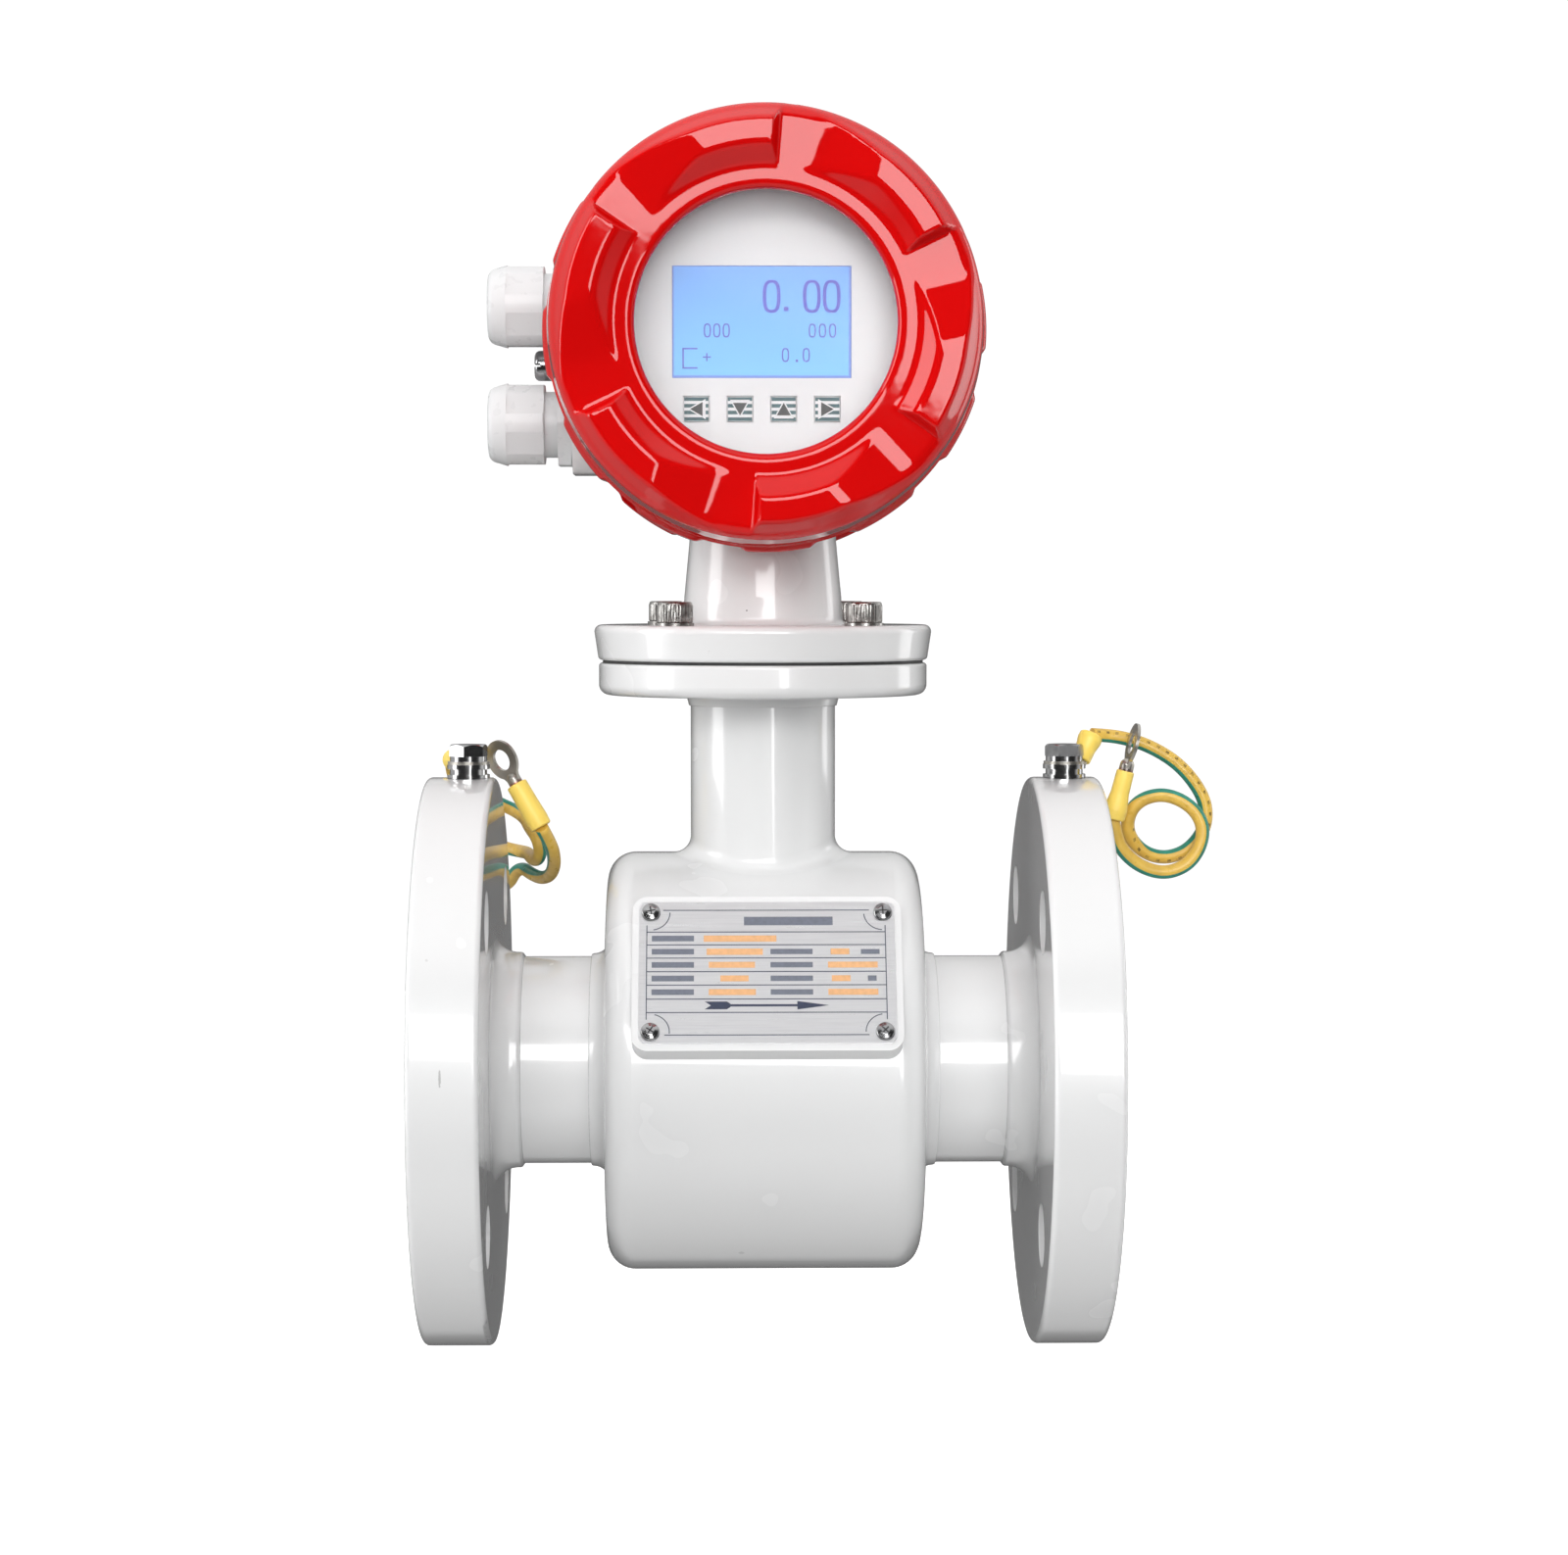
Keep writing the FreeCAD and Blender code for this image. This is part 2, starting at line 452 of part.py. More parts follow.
# ---------------------------------------------------------------- cable glands on the left side
gbodies, gwash = [], []
for nm, z in zip(("upper", "lower"), GLAND_Z):
    f = GLAND_FACE
    g = cyl(10.0, (f + 8.0, GLAND_Y, z), (f - 0.6, GLAND_Y, z))
    h = prism(hexagon(24.0, 0), (f - 4.4, GLAND_Y, z), (0, 1, 0), (0, 0, 1), (1, 0, 0), 3.8)
    h = h.common(rev([(-1, 0, 0), (-1, 12.7, 0), (0.2, 13.7, 0), (5, 13.7, 0), (5, 0, 0)], (f - 4.4, GLAND_Y, z), (1, 0, 0)))
    g = g.fuse(h).fuse(cyl(9.6, (f - 15.4, GLAND_Y, z), (f - 4.2, GLAND_Y, z))).removeSplitter()
    g = g.cut(cyl(6.6, (f - 20, GLAND_Y, z), (f + 12, GLAND_Y, z)))
    gbodies.append(g)
    gwash.append(ring(10.0, 12.4, (f - 0.6, GLAND_Y, z), (f, GLAND_Y, z)))
    # domed cap nut; local X runs away from the housing
    nut = rev([(8.4, 9.68, 0), (8.4, 12.0, 0.4), (19.4, 12.0, 1.0), (24.8, 10.4, 2.6), (24.8, 6.8, 0.4), (22.4, 6.8, 0),
               (22.4, 9.1, 0), (17.6, 9.1, 0), (17.6, 9.68, 0)], (f, GLAND_Y, z), (-1, 0, 0))
    flats = None
    for k in range(6):
        a = 60.0 * k + 30.0
        ey = (0, math.cos(math.radians(a)), math.sin(math.radians(a)))
        ez = (0, -math.sin(math.radians(a)), math.cos(math.radians(a)))
        o = (f - 19.2, GLAND_Y + 11.45 * ey[1], z + 11.45 * ey[2])
        c = prism([(0, -8), (3, -8), (3, 8), (0, 8)], o, ey, ez, (1, 0, 0), 12.0)
        flats = c if flats is None else flats.fuse(c)
    keep("gland_%s_nut" % nm, nut.cut(flats).removeSplitter())
    keep("gland_%s_seal" % nm, rev([(15.7, 5.0, 0.6), (15.7, 8.6, 0), (16.6, 9.0, 0), (22.3, 9.0, 0), (22.3, 5.0, 0.6)],
                                   (f, GLAND_Y, z), (-1, 0, 0)))
keep("gland_bodies", *(gbodies + gwash))

# earthing screw of the housing, between the glands
f = GLAND_FACE
gz = SCREW_Z
gs = cyl(2.5, (f + 7.4, GLAND_Y, gz), (f - 6.2, GLAND_Y, gz)).fuse(
    rev([(0, 0, 0), (0, 4.4, 0.2), (5.2, 4.4, 1.6), (5.2, 0, 0)], (f - 6.2, GLAND_Y, gz), (-1, 0, 0))).removeSplitter()
gs = gs.cut(box(f - 12.0, f - 9.6, GLAND_Y - 5, GLAND_Y + 5, gz - 0.5, gz + 0.5)).cut(
    box(f - 12.0, f - 9.6, GLAND_Y - 0.5, GLAND_Y + 0.5, gz - 2.6, gz + 2.6))
keep("housing_ground_screw", gs, ring(2.5, 4.6, (f - 1.0, GLAND_Y, gz), (f, GLAND_Y, gz)),
     box(f - 4.4, f - 1.0, GLAND_Y - 4.6, GLAND_Y + 4.6, gz - 4.5, gz + 4.5).cut(cyl(2.5, (f - 6, GLAND_Y, gz), (f, GLAND_Y, gz))),
     ring(2.5, 4.4, (f - 6.2, GLAND_Y, gz), (f - 4.4, GLAND_Y, gz)))

# ---------------------------------------------------------------- nameplate on a welded seat, tipped 30 degrees back
TH = math.radians(30.0)
pn = (0.0, -math.cos(TH), math.sin(TH))     # outward normal
pu = (0.0, math.sin(TH), math.cos(TH))      # up the slope
D0 = 62.4                                   # seat face from the pipe axis
PLX = 0.5
c0 = tuple(n * D0 for n in pn)
seat = rrect(75.0, 46.5, 4.5, (PLX, c0[1] - pn[1] * 12, c0[2] - pn[2] * 12), (1, 0, 0), pu, pn, 12.0)
seat = seat.cut(solid_drum)
plate = rrect(71.0, 42.5, 2.2, (PLX, c0[1], c0[2]), (1, 0, 0), pu, pn, 0.8)
pscrews = []
for sx in (-1, 1):
    for su in (-1, 1):
        px = PLX + sx * 32.3
        q = tuple(c0[i] + pu[i] * su * 18.0 for i in range(3))
        a = (px, q[1] - pn[1] * 3.0, q[2] - pn[2] * 3.0)
        b = (px, q[1] + pn[1] * 0.8, q[2] + pn[2] * 0.8)
        hole = cyl(1.25, a, (px, q[1] + pn[1] * 2, q[2] + pn[2] * 2))
        seat = seat.cut(hole)
        plate = plate.cut(hole)
        hd = rev([(0, 0, 0), (0, 2.7, 0.1), (0.9, 2.5, 0.5), (1.5, 1.2, 0.6), (1.5, 0, 0)], b, pn)
        pscrews.append(cyl(1.25, a, b).fuse(hd).removeSplitter())
keep("nameplate_seat", seat)
keep("nameplate", plate)
keep("nameplate_screws", *pscrews)

# ---------------------------------------------------------------- earthing bolts, washers and ring lugs on the flange rims
gb, gw = [], []
Z0 = FLANGE_R - 0.35
for s in (-1, 1):
    x = GROUND_BOLT_X[s]
    z = Z0
    gw.append(ring(3.0, 6.2, (x, 0, z), (x, 0, z + 1.3)))
    gw.append(ring(3.0, 5.4, (x, 0, z + 1.3), (x, 0, z + 2.9)).cut(
        prism([(-0.4, 2.5), (0.4, 2.5), (0.9, 6), (0.1, 6)], (x, 0, z + 1.3), (1, 0, 0), (0, 1, 0), (0, 0, 1), 1.6)))
    gw.append(ring(3.0, 6.2, (x, 0, z + 2.9), (x, 0, z + 4.2)))
    gw.append(ring(3.0, 5.4, (x, 0, z + 5.1), (x, 0, z + 6.6)))
    zh = z + 6.6
    hd = prism(hexagon(10.0, 8 if s > 0 else 20), (x, 0, zh), (1, 0, 0), (0, 1, 0), (0, 0, 1), 3.4)
    hd = hd.common(rev([(-1, 0, 0), (-1, 5.9, 0), (2.7, 5.9, 0), (3.4, 5.0, 0), (3.4, 0, 0)], (x, 0, zh), (0, 0, 1)))
    gb.append(cyl(3.0, (x, 0, FLANGE_R - 11), (x, 0, zh)).fuse(hd).removeSplitter())
keep("ground_bolts", *gb)
keep("ground_washers", *gw)
LUG_Z = Z0 + 4.2                            # underside of the fixed ring lugs


def unit(v):
    d = V(*v)
    d.normalize()
    return d


def ring_lug(c, n, u, barrel_dir, t=0.9, neck=7.6, barrel=5.0):
    """Crimp lug: ring about c with normal n, tongue along u, then a barrel along barrel_dir.
    Returns the solid and the far end of its barrel."""
    c, n, u, bd = V(*c), unit(n), unit(u), unit(barrel_dir)
    w = n.cross(u)
    base = c - n * (t / 2)
    s = Part.makeCylinder(6.0, t, base, n)
    tongue = [base + u * 3.0 + w * 4.2, base + u * neck + w * 1.9, base + u * neck - w * 1.9, base + u * 3.0 - w * 4.2]
    s = s.fuse(Part.Face(Part.makePolygon(tongue + [tongue[0]])).extrude(n * t))
    p = c + u * (neck - 0.6)
    s = s.fuse(Part.makeCylinder(2.1, barrel + 1.0, p - bd * 0.6, bd))
    s = s.fuse(Part.makeSphere(2.1, p - bd * 0.4))
    s = s.cut(Part.makeCylinder(3.2, t + 6, c - n * (t / 2 + 3), n)).removeSplitter()
    return s, p + bd * (barrel + 0.4)


def sleeve(p_end, bd, back, length, r_small, r_big):
    """Heat-shrink sleeve round a lug barrel: starts back before the barrel's end and runs on to the wire."""
    bd = unit(bd)
    a = p_end - bd * back
    s = rev([(0, 0, 0), (0, r_small, 0.5), (length * 0.45, r_small + 0.1, 2.0), (length * 0.8, r_big, 2.0), (length, r_big - 0.2, 0.6),
             (length, 0, 0)], (a.x, a.y, a.z), (bd.x, bd.y, bd.z))
    s = s.cut(Part.makeCylinder(2.1, back, a, bd))
    return s, a + bd * length


# control points of the two earthing wires, from the fixed lug to the free one
OUT_WIRE = [(101.6, 9.4, 94.2), (106.2, 9.0, 93.5), (111.4, 8.5, 92.1), (117.1, 8.0, 89.4), (122.2, 7.5, 85.9), (126.5, 7.0, 81.2),
            (129.6, 6.8, 76.1), (130.6, 6.6, 71.4), (129.8, 6.3, 66.6), (126.6, 5.8, 62.2), (122.9, 5.3, 59.6), (117.9, 4.8, 58.4),
            (112.5, 4.3, 59.7), (108.3, 3.8, 63.4), (106.6, 3.3, 68.0), (107.9, 2.8, 73.0), (111.5, 2.3, 76.2), (117.0, 1.7, 77.4),
            (122.5, 1.1, 75.7), (126.9, 0.5, 72.1), (128.9, 0.1, 67.2), (127.7, -0.2, 61.5), (124.0, -0.4, 56.5), (117.3, -0.6, 54.1),
            (110.0, -1.0, 56.3), (104.5, -1.5, 61.2), (102.5, -1.9, 66.7)]
IN_WIRE = [(-92.5, 26.4, 84.9), (-92.7, 34.2, 81.9), (-91.5, 44.5, 77.1), (-87.0, 50.5, 74.5), (-80.6, 54.6, 71.9), (-74.9, 54.6, 69.3),
           (-71.6, 47.4, 67.4), (-70.4, 39.5, 66.3), (-69.2, 32.2, 65.3), (-67.1, 28.4, 62.9), (-66.1, 28.4, 59.0),
           (-67.0, 31.9, 56.2), (-68.9, 39.0, 55.5), (-70.4, 50.0, 55.7), (-71.7, 61.6, 55.8), (-73.9, 70.3, 55.6),
           (-78.5, 74.0, 56.2), (-83.5, 77.5, 57.6), (-88.5, 82.5, 56.0), (-90.8, 87.5, 51.5), (-88.6, 89.6, 46.0),
           (-83.6, 87.0, 43.0), (-78.8, 80.8, 44.6), (-76.4, 75.0, 49.2), (-73.6, 70.6, 50.4), (-71.4, 61.5, 49.9),
           (-69.5, 52.0, 49.8), (-66.7, 43.0, 49.6), (-63.7, 32.5, 51.1), (-62.0, 23.0, 54.3), (-61.5, 15.0, 58.0),
           (-62.0, 8.5, 62.2)]


def cord_path(pts):
    """Straight runs joined by tangent arcs; each arc's radius is 0.45 of the shorter run over tan(half the turn)."""
    P = [V(*p) for p in pts]
    edges, radii = [], []
    prev = P[0]
    for i in range(1, len(P) - 1):
        a, b = P[i - 1] - P[i], P[i + 1] - P[i]
        t = 0.45 * min(a.Length, b.Length)
        a.normalize()
        b.normalize()
        turn = math.pi - a.getAngle(b)
        rad = t / math.tan(turn / 2)
        p1, p2 = P[i] + a * t, P[i] + b * t
        bis = a + b
        bis.normalize()
        half = a.getAngle(b) / 2
        m = P[i] + bis * (rad / math.sin(half) - rad)
        edges.append(Part.LineSegment(prev, p1).toShape())
        edges.append(Part.Arc(p1, m, p2).toShape())
        radii.append((round(math.degrees(turn), 1), round(rad, 2)))
        prev = p2
    edges.append(Part.LineSegment(prev, P[-1]).toShape())
    return Part.Wire(edges), radii


def cord_solid(name, pts, r):
    wire, radii = cord_path(pts)
    d = V(*pts[1]) - V(*pts[0])
    circ = Part.Wire([Part.Circle(V(*pts[0]), d, r).toShape()])
    s = wire.makePipeShell([circ], True, False)
    if s.Volume < 0:
        s.reverse()
    runs = [(V(*pts[i + 1]) - V(*pts[i])).Length for i in range(len(pts) - 1)]
    print("%s: length %.1f, runs %.1f to %.1f, volume ratio %.4f, smallest radius %.2f, largest turn %.1f" % (
        name, wire.Length, min(runs), max(runs), s.Volume / (math.pi * r * r * wire.Length), min(x[1] for x in radii),
        max(x[0] for x in radii)))
    print("   turn and radius at each point:", radii)
    return s


# outlet side: the fixed lug's barrel stands up behind the bolt, the wire arches over and loops once
lug_c = (GROUND_BOLT_X[1], 0, LUG_Z + 0.45)
o_fix, o_end = ring_lug(lug_c, (0, 0, 1), (0.72, 0.69, 0), (0.42, 0.30, 0.86))
o_sl, o_out = sleeve(o_end, (0.42, 0.30, 0.86), 5.0, 8.6, 2.9, 3.6)


def clear_stack(s, x):
    """Trim a lug's barrel or sleeve where it would run into the washers under and over the lug."""
    s = s.cut(cyl(6.35, (x, 0, Z0 + 0.5), (x, 0, LUG_Z)))
    return s.cut(cyl(5.55, (x, 0, LUG_Z + 0.9), (x, 0, LUG_Z + 2.5)))


o_fix, o_sl = clear_stack(o_fix, GROUND_BOLT_X[1]), clear_stack(o_sl, GROUND_BOLT_X[1])
keep("outlet_fixed_lug", o_fix)
# free lug stands up at the wire's other end, edge on to the display side
fd = unit((0.245, -0.02, 0.97))
f_start = V(102.4, -2.0, 71.6)
o_free_end = f_start + fd * 9.0                     # end of the crimp barrel inside the sleeve
free_c = o_free_end + fd * (5.4 + 7.0)
o_free, o_fe = ring_lug((free_c.x, free_c.y, free_c.z), (0.968, 0.10, -0.244), (-fd.x, -fd.y, -fd.z), (-fd.x, -fd.y, -fd.z))
o_fsl, o_fout = sleeve(o_fe, (-fd.x, -fd.y, -fd.z), 4.2, 14.6, 2.6, 3.5)
keep("outlet_free_lug", o_free)
w_pts = [(o_out.x, o_out.y, o_out.z)] + OUT_WIRE + [(o_fout.x, o_fout.y, o_fout.z)]
print("outlet wire ends", [round(c, 2) for c in w_pts[0]], [round(c, 2) for c in w_pts[-1]])
o_wire = cord_solid("outlet_ground_wire", w_pts, WIRE_R)
keep("outlet_ground_wire", o_wire)

# inlet side: the fixed lug's barrel points back, the wire goes over the rim's far side and folds back twice
lug_c = (GROUND_BOLT_X[-1], 0, LUG_Z + 0.45)
i_fix, i_end = ring_lug(lug_c, (0, 0, 1), (-0.35, 0.94, 0), (-0.27, 0.96, 0.0))
i_sl, i_out = sleeve(i_end, (-0.27, 0.96, 0.0), 5.0, 13.0, 2.9, 3.3)
i_fix, i_sl = clear_stack(i_fix, GROUND_BOLT_X[-1]), clear_stack(i_sl, GROUND_BOLT_X[-1])
keep("inlet_fixed_lug", i_fix)
gd = unit((-0.50, 0.10, 0.86))
g_start = V(-64.6, 3.6, 67.6)
i_free_end = g_start + gd * 10.6
gc = i_free_end + gd * (5.4 + 7.0)
nn = unit((-0.62, -0.72, -0.28))
nn = nn - gd * nn.dot(gd)
i_free, i_fe = ring_lug((gc.x, gc.y, gc.z), (nn.x, nn.y, nn.z), (-gd.x, -gd.y, -gd.z), (-gd.x, -gd.y, -gd.z))
i_fsl, i_fout = sleeve(i_fe, (-gd.x, -gd.y, -gd.z), 4.2, 14.6, 3.1, 3.4)
keep("inlet_free_lug", i_free)
w_pts = [(i_out.x, i_out.y, i_out.z)] + IN_WIRE + [(i_fout.x, i_fout.y, i_fout.z)]
print("inlet wire ends", [round(c, 2) for c in w_pts[0]], [round(c, 2) for c in w_pts[-1]])
print("free lug centres", [round(c, 2) for c in free_c], [round(c, 2) for c in gc], "normals", [round(c, 3) for c in nn])
i_wire = cord_solid("inlet_ground_wire", w_pts, WIRE_R)
keep("inlet_ground_wire", i_wire)
# each sleeve closes round the end of its wire
keep("fixed_sleeves", o_sl.cut(o_wire), i_sl.cut(i_wire))
keep("outlet_free_sleeve", o_fsl.cut(o_wire))
keep("inlet_free_sleeve", i_fsl.cut(i_wire))

# ---------------------------------------------------------------- lead bundle from the coils up to the power board
leads = cord_solid("signal_leads", [(15.6, 0, 44.0), (15.8, 0.4, 70.0), (15.4, 0, 96.0), (11.0, -1.0, 122.0), (8.0, -3.0, 144.0),
                                    (6.0, -9.0, 160.0), (4.0, -19.0, 170.5), (4.0, -19.0, 182.0)], 2.0)
keep("signal_leads", leads)

for n, s in sorted(NODES.items()):
    bb = s.BoundBox
    ok = all(x.isValid() for x in s.Solids)
    print("%-22s solids %2d valid %s vol %9.1f  x %7.1f %7.1f y %7.1f %7.1f z %7.1f %7.1f" % (
        n, len(s.Solids), ok, s.Volume, bb.XMin, bb.XMax, bb.YMin, bb.YMax, bb.ZMin, bb.ZMax))
print(len(NODES), "nodes")
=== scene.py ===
import bpy, bmesh
import math
import random
from mathutils import Vector, Matrix


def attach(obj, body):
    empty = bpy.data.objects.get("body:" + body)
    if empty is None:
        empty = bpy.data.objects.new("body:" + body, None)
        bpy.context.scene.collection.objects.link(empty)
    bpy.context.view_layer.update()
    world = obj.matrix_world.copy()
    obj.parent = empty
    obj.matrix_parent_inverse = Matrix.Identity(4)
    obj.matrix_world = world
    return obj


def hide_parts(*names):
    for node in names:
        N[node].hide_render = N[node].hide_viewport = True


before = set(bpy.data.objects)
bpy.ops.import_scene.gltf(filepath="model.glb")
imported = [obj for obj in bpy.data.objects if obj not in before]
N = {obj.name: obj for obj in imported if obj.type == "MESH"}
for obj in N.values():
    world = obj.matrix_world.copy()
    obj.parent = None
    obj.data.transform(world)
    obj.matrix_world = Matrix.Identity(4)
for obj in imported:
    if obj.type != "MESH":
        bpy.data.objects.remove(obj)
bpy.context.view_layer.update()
random.seed(7)
MM = 0.001
HZ = 209.5                       # barrel axis height, mm
BARREL_IN, BARREL_OUT = (-71.35, 4.95, 79.2), (105.31, -2.24, 83.13)     # middle of the bare crimp barrels of the free lugs, mm
AMB, AMB_TOP, CARD, LEFT, RIGHT = 0.80, 1.20, 8.0, 4.6, 2.4     # brightness of the studio surroundings


# ------------------------------------------------------------------ node helpers
def new_mat(name):
    m = bpy.data.materials.new(name)
    m.use_nodes = True
    nt = m.node_tree
    for n in list(nt.nodes):
        nt.nodes.remove(n)
    out = nt.nodes.new("ShaderNodeOutputMaterial")
    b = nt.nodes.new("ShaderNodeBsdfPrincipled")
    nt.links.new(b.outputs[0], out.inputs[0])
    return m, nt, b


def coords(nt, scale=(1, 1, 1), rot=(0, 0, 0)):
    tc = nt.nodes.new("ShaderNodeTexCoord")
    mp = nt.nodes.new("ShaderNodeMapping")
    mp.inputs["Scale"].default_value = scale
    mp.inputs["Rotation"].default_value = rot
    nt.links.new(tc.outputs["Object"], mp.inputs[0])
    return mp.outputs[0]


def noise(nt, vec, scale, detail=3.0, rough=0.5, dist=0.0):
    n = nt.nodes.new("ShaderNodeTexNoise")
    n.inputs["Scale"].default_value = scale
    n.inputs["Detail"].default_value = detail
    n.inputs["Roughness"].default_value = rough
    n.inputs["Distortion"].default_value = dist
    nt.links.new(vec, n.inputs["Vector"])
    return n.outputs["Fac"]


def ramp(nt, fac, stops):
    r = nt.nodes.new("ShaderNodeValToRGB")
    e = r.color_ramp.elements
    while len(e) > 1:
        e.remove(e[-1])
    e[0].position, e[0].color = stops[0][0], stops[0][1]
    for p, c in stops[1:]:
        x = e.new(p)
        x.color = c
    nt.links.new(fac, r.inputs[0])
    return r.outputs[0]


def rng(nt, fac, a, b, lo=0.0, hi=1.0):
    r = nt.nodes.new("ShaderNodeMapRange")
    r.inputs["From Min"].default_value = lo
    r.inputs["From Max"].default_value = hi
    r.inputs["To Min"].default_value = a
    r.inputs["To Max"].default_value = b
    nt.links.new(fac, r.inputs["Value"])
    return r.outputs[0]


def mixc(nt, fac, a, b, mode="MIX"):
    m = nt.nodes.new("ShaderNodeMix")
    m.data_type = "RGBA"
    m.blend_type = mode
    if isinstance(fac, (int, float)):
        m.inputs[0].default_value = fac
    else:
        nt.links.new(fac, m.inputs[0])
    for i, v in ((6, a), (7, b)):
        if isinstance(v, tuple):
            m.inputs[i].default_value = v
        else:
            nt.links.new(v, m.inputs[i])
    return m.outputs[2]


def bump(nt, b, height, strength, dist=0.0002, prev=None):
    n = nt.nodes.new("ShaderNodeBump")
    n.inputs["Strength"].default_value = strength
    n.inputs["Distance"].default_value = dist
    nt.links.new(height, n.inputs["Height"])
    if prev is not None:
        nt.links.new(prev, n.inputs["Normal"])
    nt.links.new(n.outputs[0], b.inputs["Normal"])
    return n.outputs[0]


def edge_mask(nt, radius=0.0012, lo=0.02, hi=0.22):
    """Where the surface turns sharply: the bevel normal against the true one."""
    bv = nt.nodes.new("ShaderNodeBevel")
    bv.samples = 4
    bv.inputs["Radius"].default_value = radius
    g = nt.nodes.new("ShaderNodeNewGeometry")
    d = nt.nodes.new("ShaderNodeVectorMath")
    d.operation = "DOT_PRODUCT"
    nt.links.new(bv.outputs[0], d.inputs[0])
    nt.links.new(g.outputs["Normal"], d.inputs[1])
    s = nt.nodes.new("ShaderNodeMath")
    s.operation = "SUBTRACT"
    s.inputs[0].default_value = 1.0
    nt.links.new(d.outputs["Value"], s.inputs[1])
    return rng(nt, s.outputs[0], 0.0, 1.0, lo, hi)


def c4(r, g, b):
    return (r, g, b, 1.0)


# ------------------------------------------------------------------ materials
def soft_edges(nt, radius):
    """Rounded look for the crisp corners of the solids: the normal is averaged over a small radius."""
    bv = nt.nodes.new("ShaderNodeBevel")
    bv.samples = 6
    bv.inputs["Radius"].default_value = radius
    return bv.outputs[0]


def spot(nt, v, col, pos, r, tint, ragged=0.5, stretch=(1, 1, 1)):
    """One chip in the paint: a ragged blot round a point given in mm."""
    d = nt.nodes.new("ShaderNodeVectorMath")
    d.operation = "SUBTRACT"
    nt.links.new(v, d.inputs[0])
    d.inputs[1].default_value = tuple(c * MM for c in pos)
    sc_ = nt.nodes.new("ShaderNodeVectorMath")
    sc_.operation = "MULTIPLY"
    nt.links.new(d.outputs[0], sc_.inputs[0])
    sc_.inputs[1].default_value = stretch
    ln = nt.nodes.new("ShaderNodeVectorMath")
    ln.operation = "LENGTH"
    nt.links.new(sc_.outputs[0], ln.inputs[0])
    nz = noise(nt, v, 1300.0, 2.0)
    ad = nt.nodes.new("ShaderNodeMath")
    ad.operation = "MULTIPLY_ADD"
    nt.links.new(nz, ad.inputs[0])
    ad.inputs[1].default_value = r * MM * ragged * 2.0
    nt.links.new(ln.outputs["Value"], ad.inputs[2])
    f = rng(nt, ad.outputs[0], 1.0, 0.0, r * MM * (1.0 + ragged) * 0.85, r * MM * (1.0 + ragged) * 1.05)
    return mixc(nt, f, col, tint)


def paint(name, base, dark, rough, peel=0.10, spots=(), edge=0.0005, coat=0.35, specks=None, low=0.9):
    m, nt, b = new_mat(name)
    v = coords(nt)
    big = noise(nt, v, 9.0, 4.0, 0.55)
    col = mixc(nt, rng(nt, big, 0.0, 1.0, 0.2, 0.8), base, dark)
    if specks:
        # a few pin-head nibs of dust under the paint
        vo = nt.nodes.new("ShaderNodeTexVoronoi")
        vo.inputs["Scale"].default_value = 70.0
        nt.links.new(v, vo.inputs["Vector"])
        f = rng(nt, vo.outputs["Distance"], 1.0, 0.0, 0.012, 0.022)
        pick = rng(nt, noise(nt, v, 23.0, 0.0), 0.0, 1.0, 0.62, 0.64)
        mu = nt.nodes.new("ShaderNodeMath")
        mu.operation = "MULTIPLY"
        nt.links.new(f, mu.inputs[0])
        nt.links.new(pick, mu.inputs[1])
        col = mixc(nt, mu.outputs[0], col, specks)
    for p_, r_, t_, st_ in spots:
        col = spot(nt, v, col, p_, r_, t_, 0.5, st_)
    nt.links.new(col, b.inputs["Base Color"])
    r2 = noise(nt, v, 35.0, 2.0)
    nt.links.new(rng(nt, r2, rough * 0.92, rough * 1.10, 0.2, 0.8), b.inputs["Roughness"])
    b.inputs["Coat Weight"].default_value = coat
    b.inputs["Coat Roughness"].default_value = 0.05
    wav = noise(nt, v, 130.0, 2.0)
    lo = noise(nt, v, 30.0, 1.0)
    n0 = soft_edges(nt, edge) if edge else None
    p = bump(nt, b, lo, peel * low, 0.0010, n0)
    p = bump(nt, b, wav, peel, 0.00022, p)
    nt.links.new(p, b.inputs["Coat Normal"])
    return m


M = {}
CH = c4(0.16, 0.155, 0.15)
CHIPS = [
    ((-15.9, -46.6, 119.7), 1.1, CH, (1, 1, 1.3)), ((-12.7, -47.6, 119.3), 0.45, c4(0.35, 0.34, 0.33), (1, 1, 1)),
    ((-4.9, -22.6, 131.2), 0.33, CH, (1, 1, 1)), ((6.0, -21.5, 150.0), 0.7, c4(0.5, 0.5, 0.5), (1, 1, 1.6)),
    ((98.0, -68.0, -29.7), 0.8, c4(0.4, 0.4, 0.4), (1, 1, 1)), ((-88.0, -82.3, 6.0), 0.35, c4(0.45, 0.45, 0.45), (1, 1, 0.12)),
    ((-6.5, -33.0, -51.0), 0.9, c4(0.60, 0.60, 0.60), (1, 1, 1)), ((-92.0, -74.0, 37.0), 0.5, c4(0.62, 0.62, 0.62), (1, 1, 1))]
WHITE, WHITE2 = c4(0.755, 0.757, 0.758), c4(0.735, 0.738, 0.741)
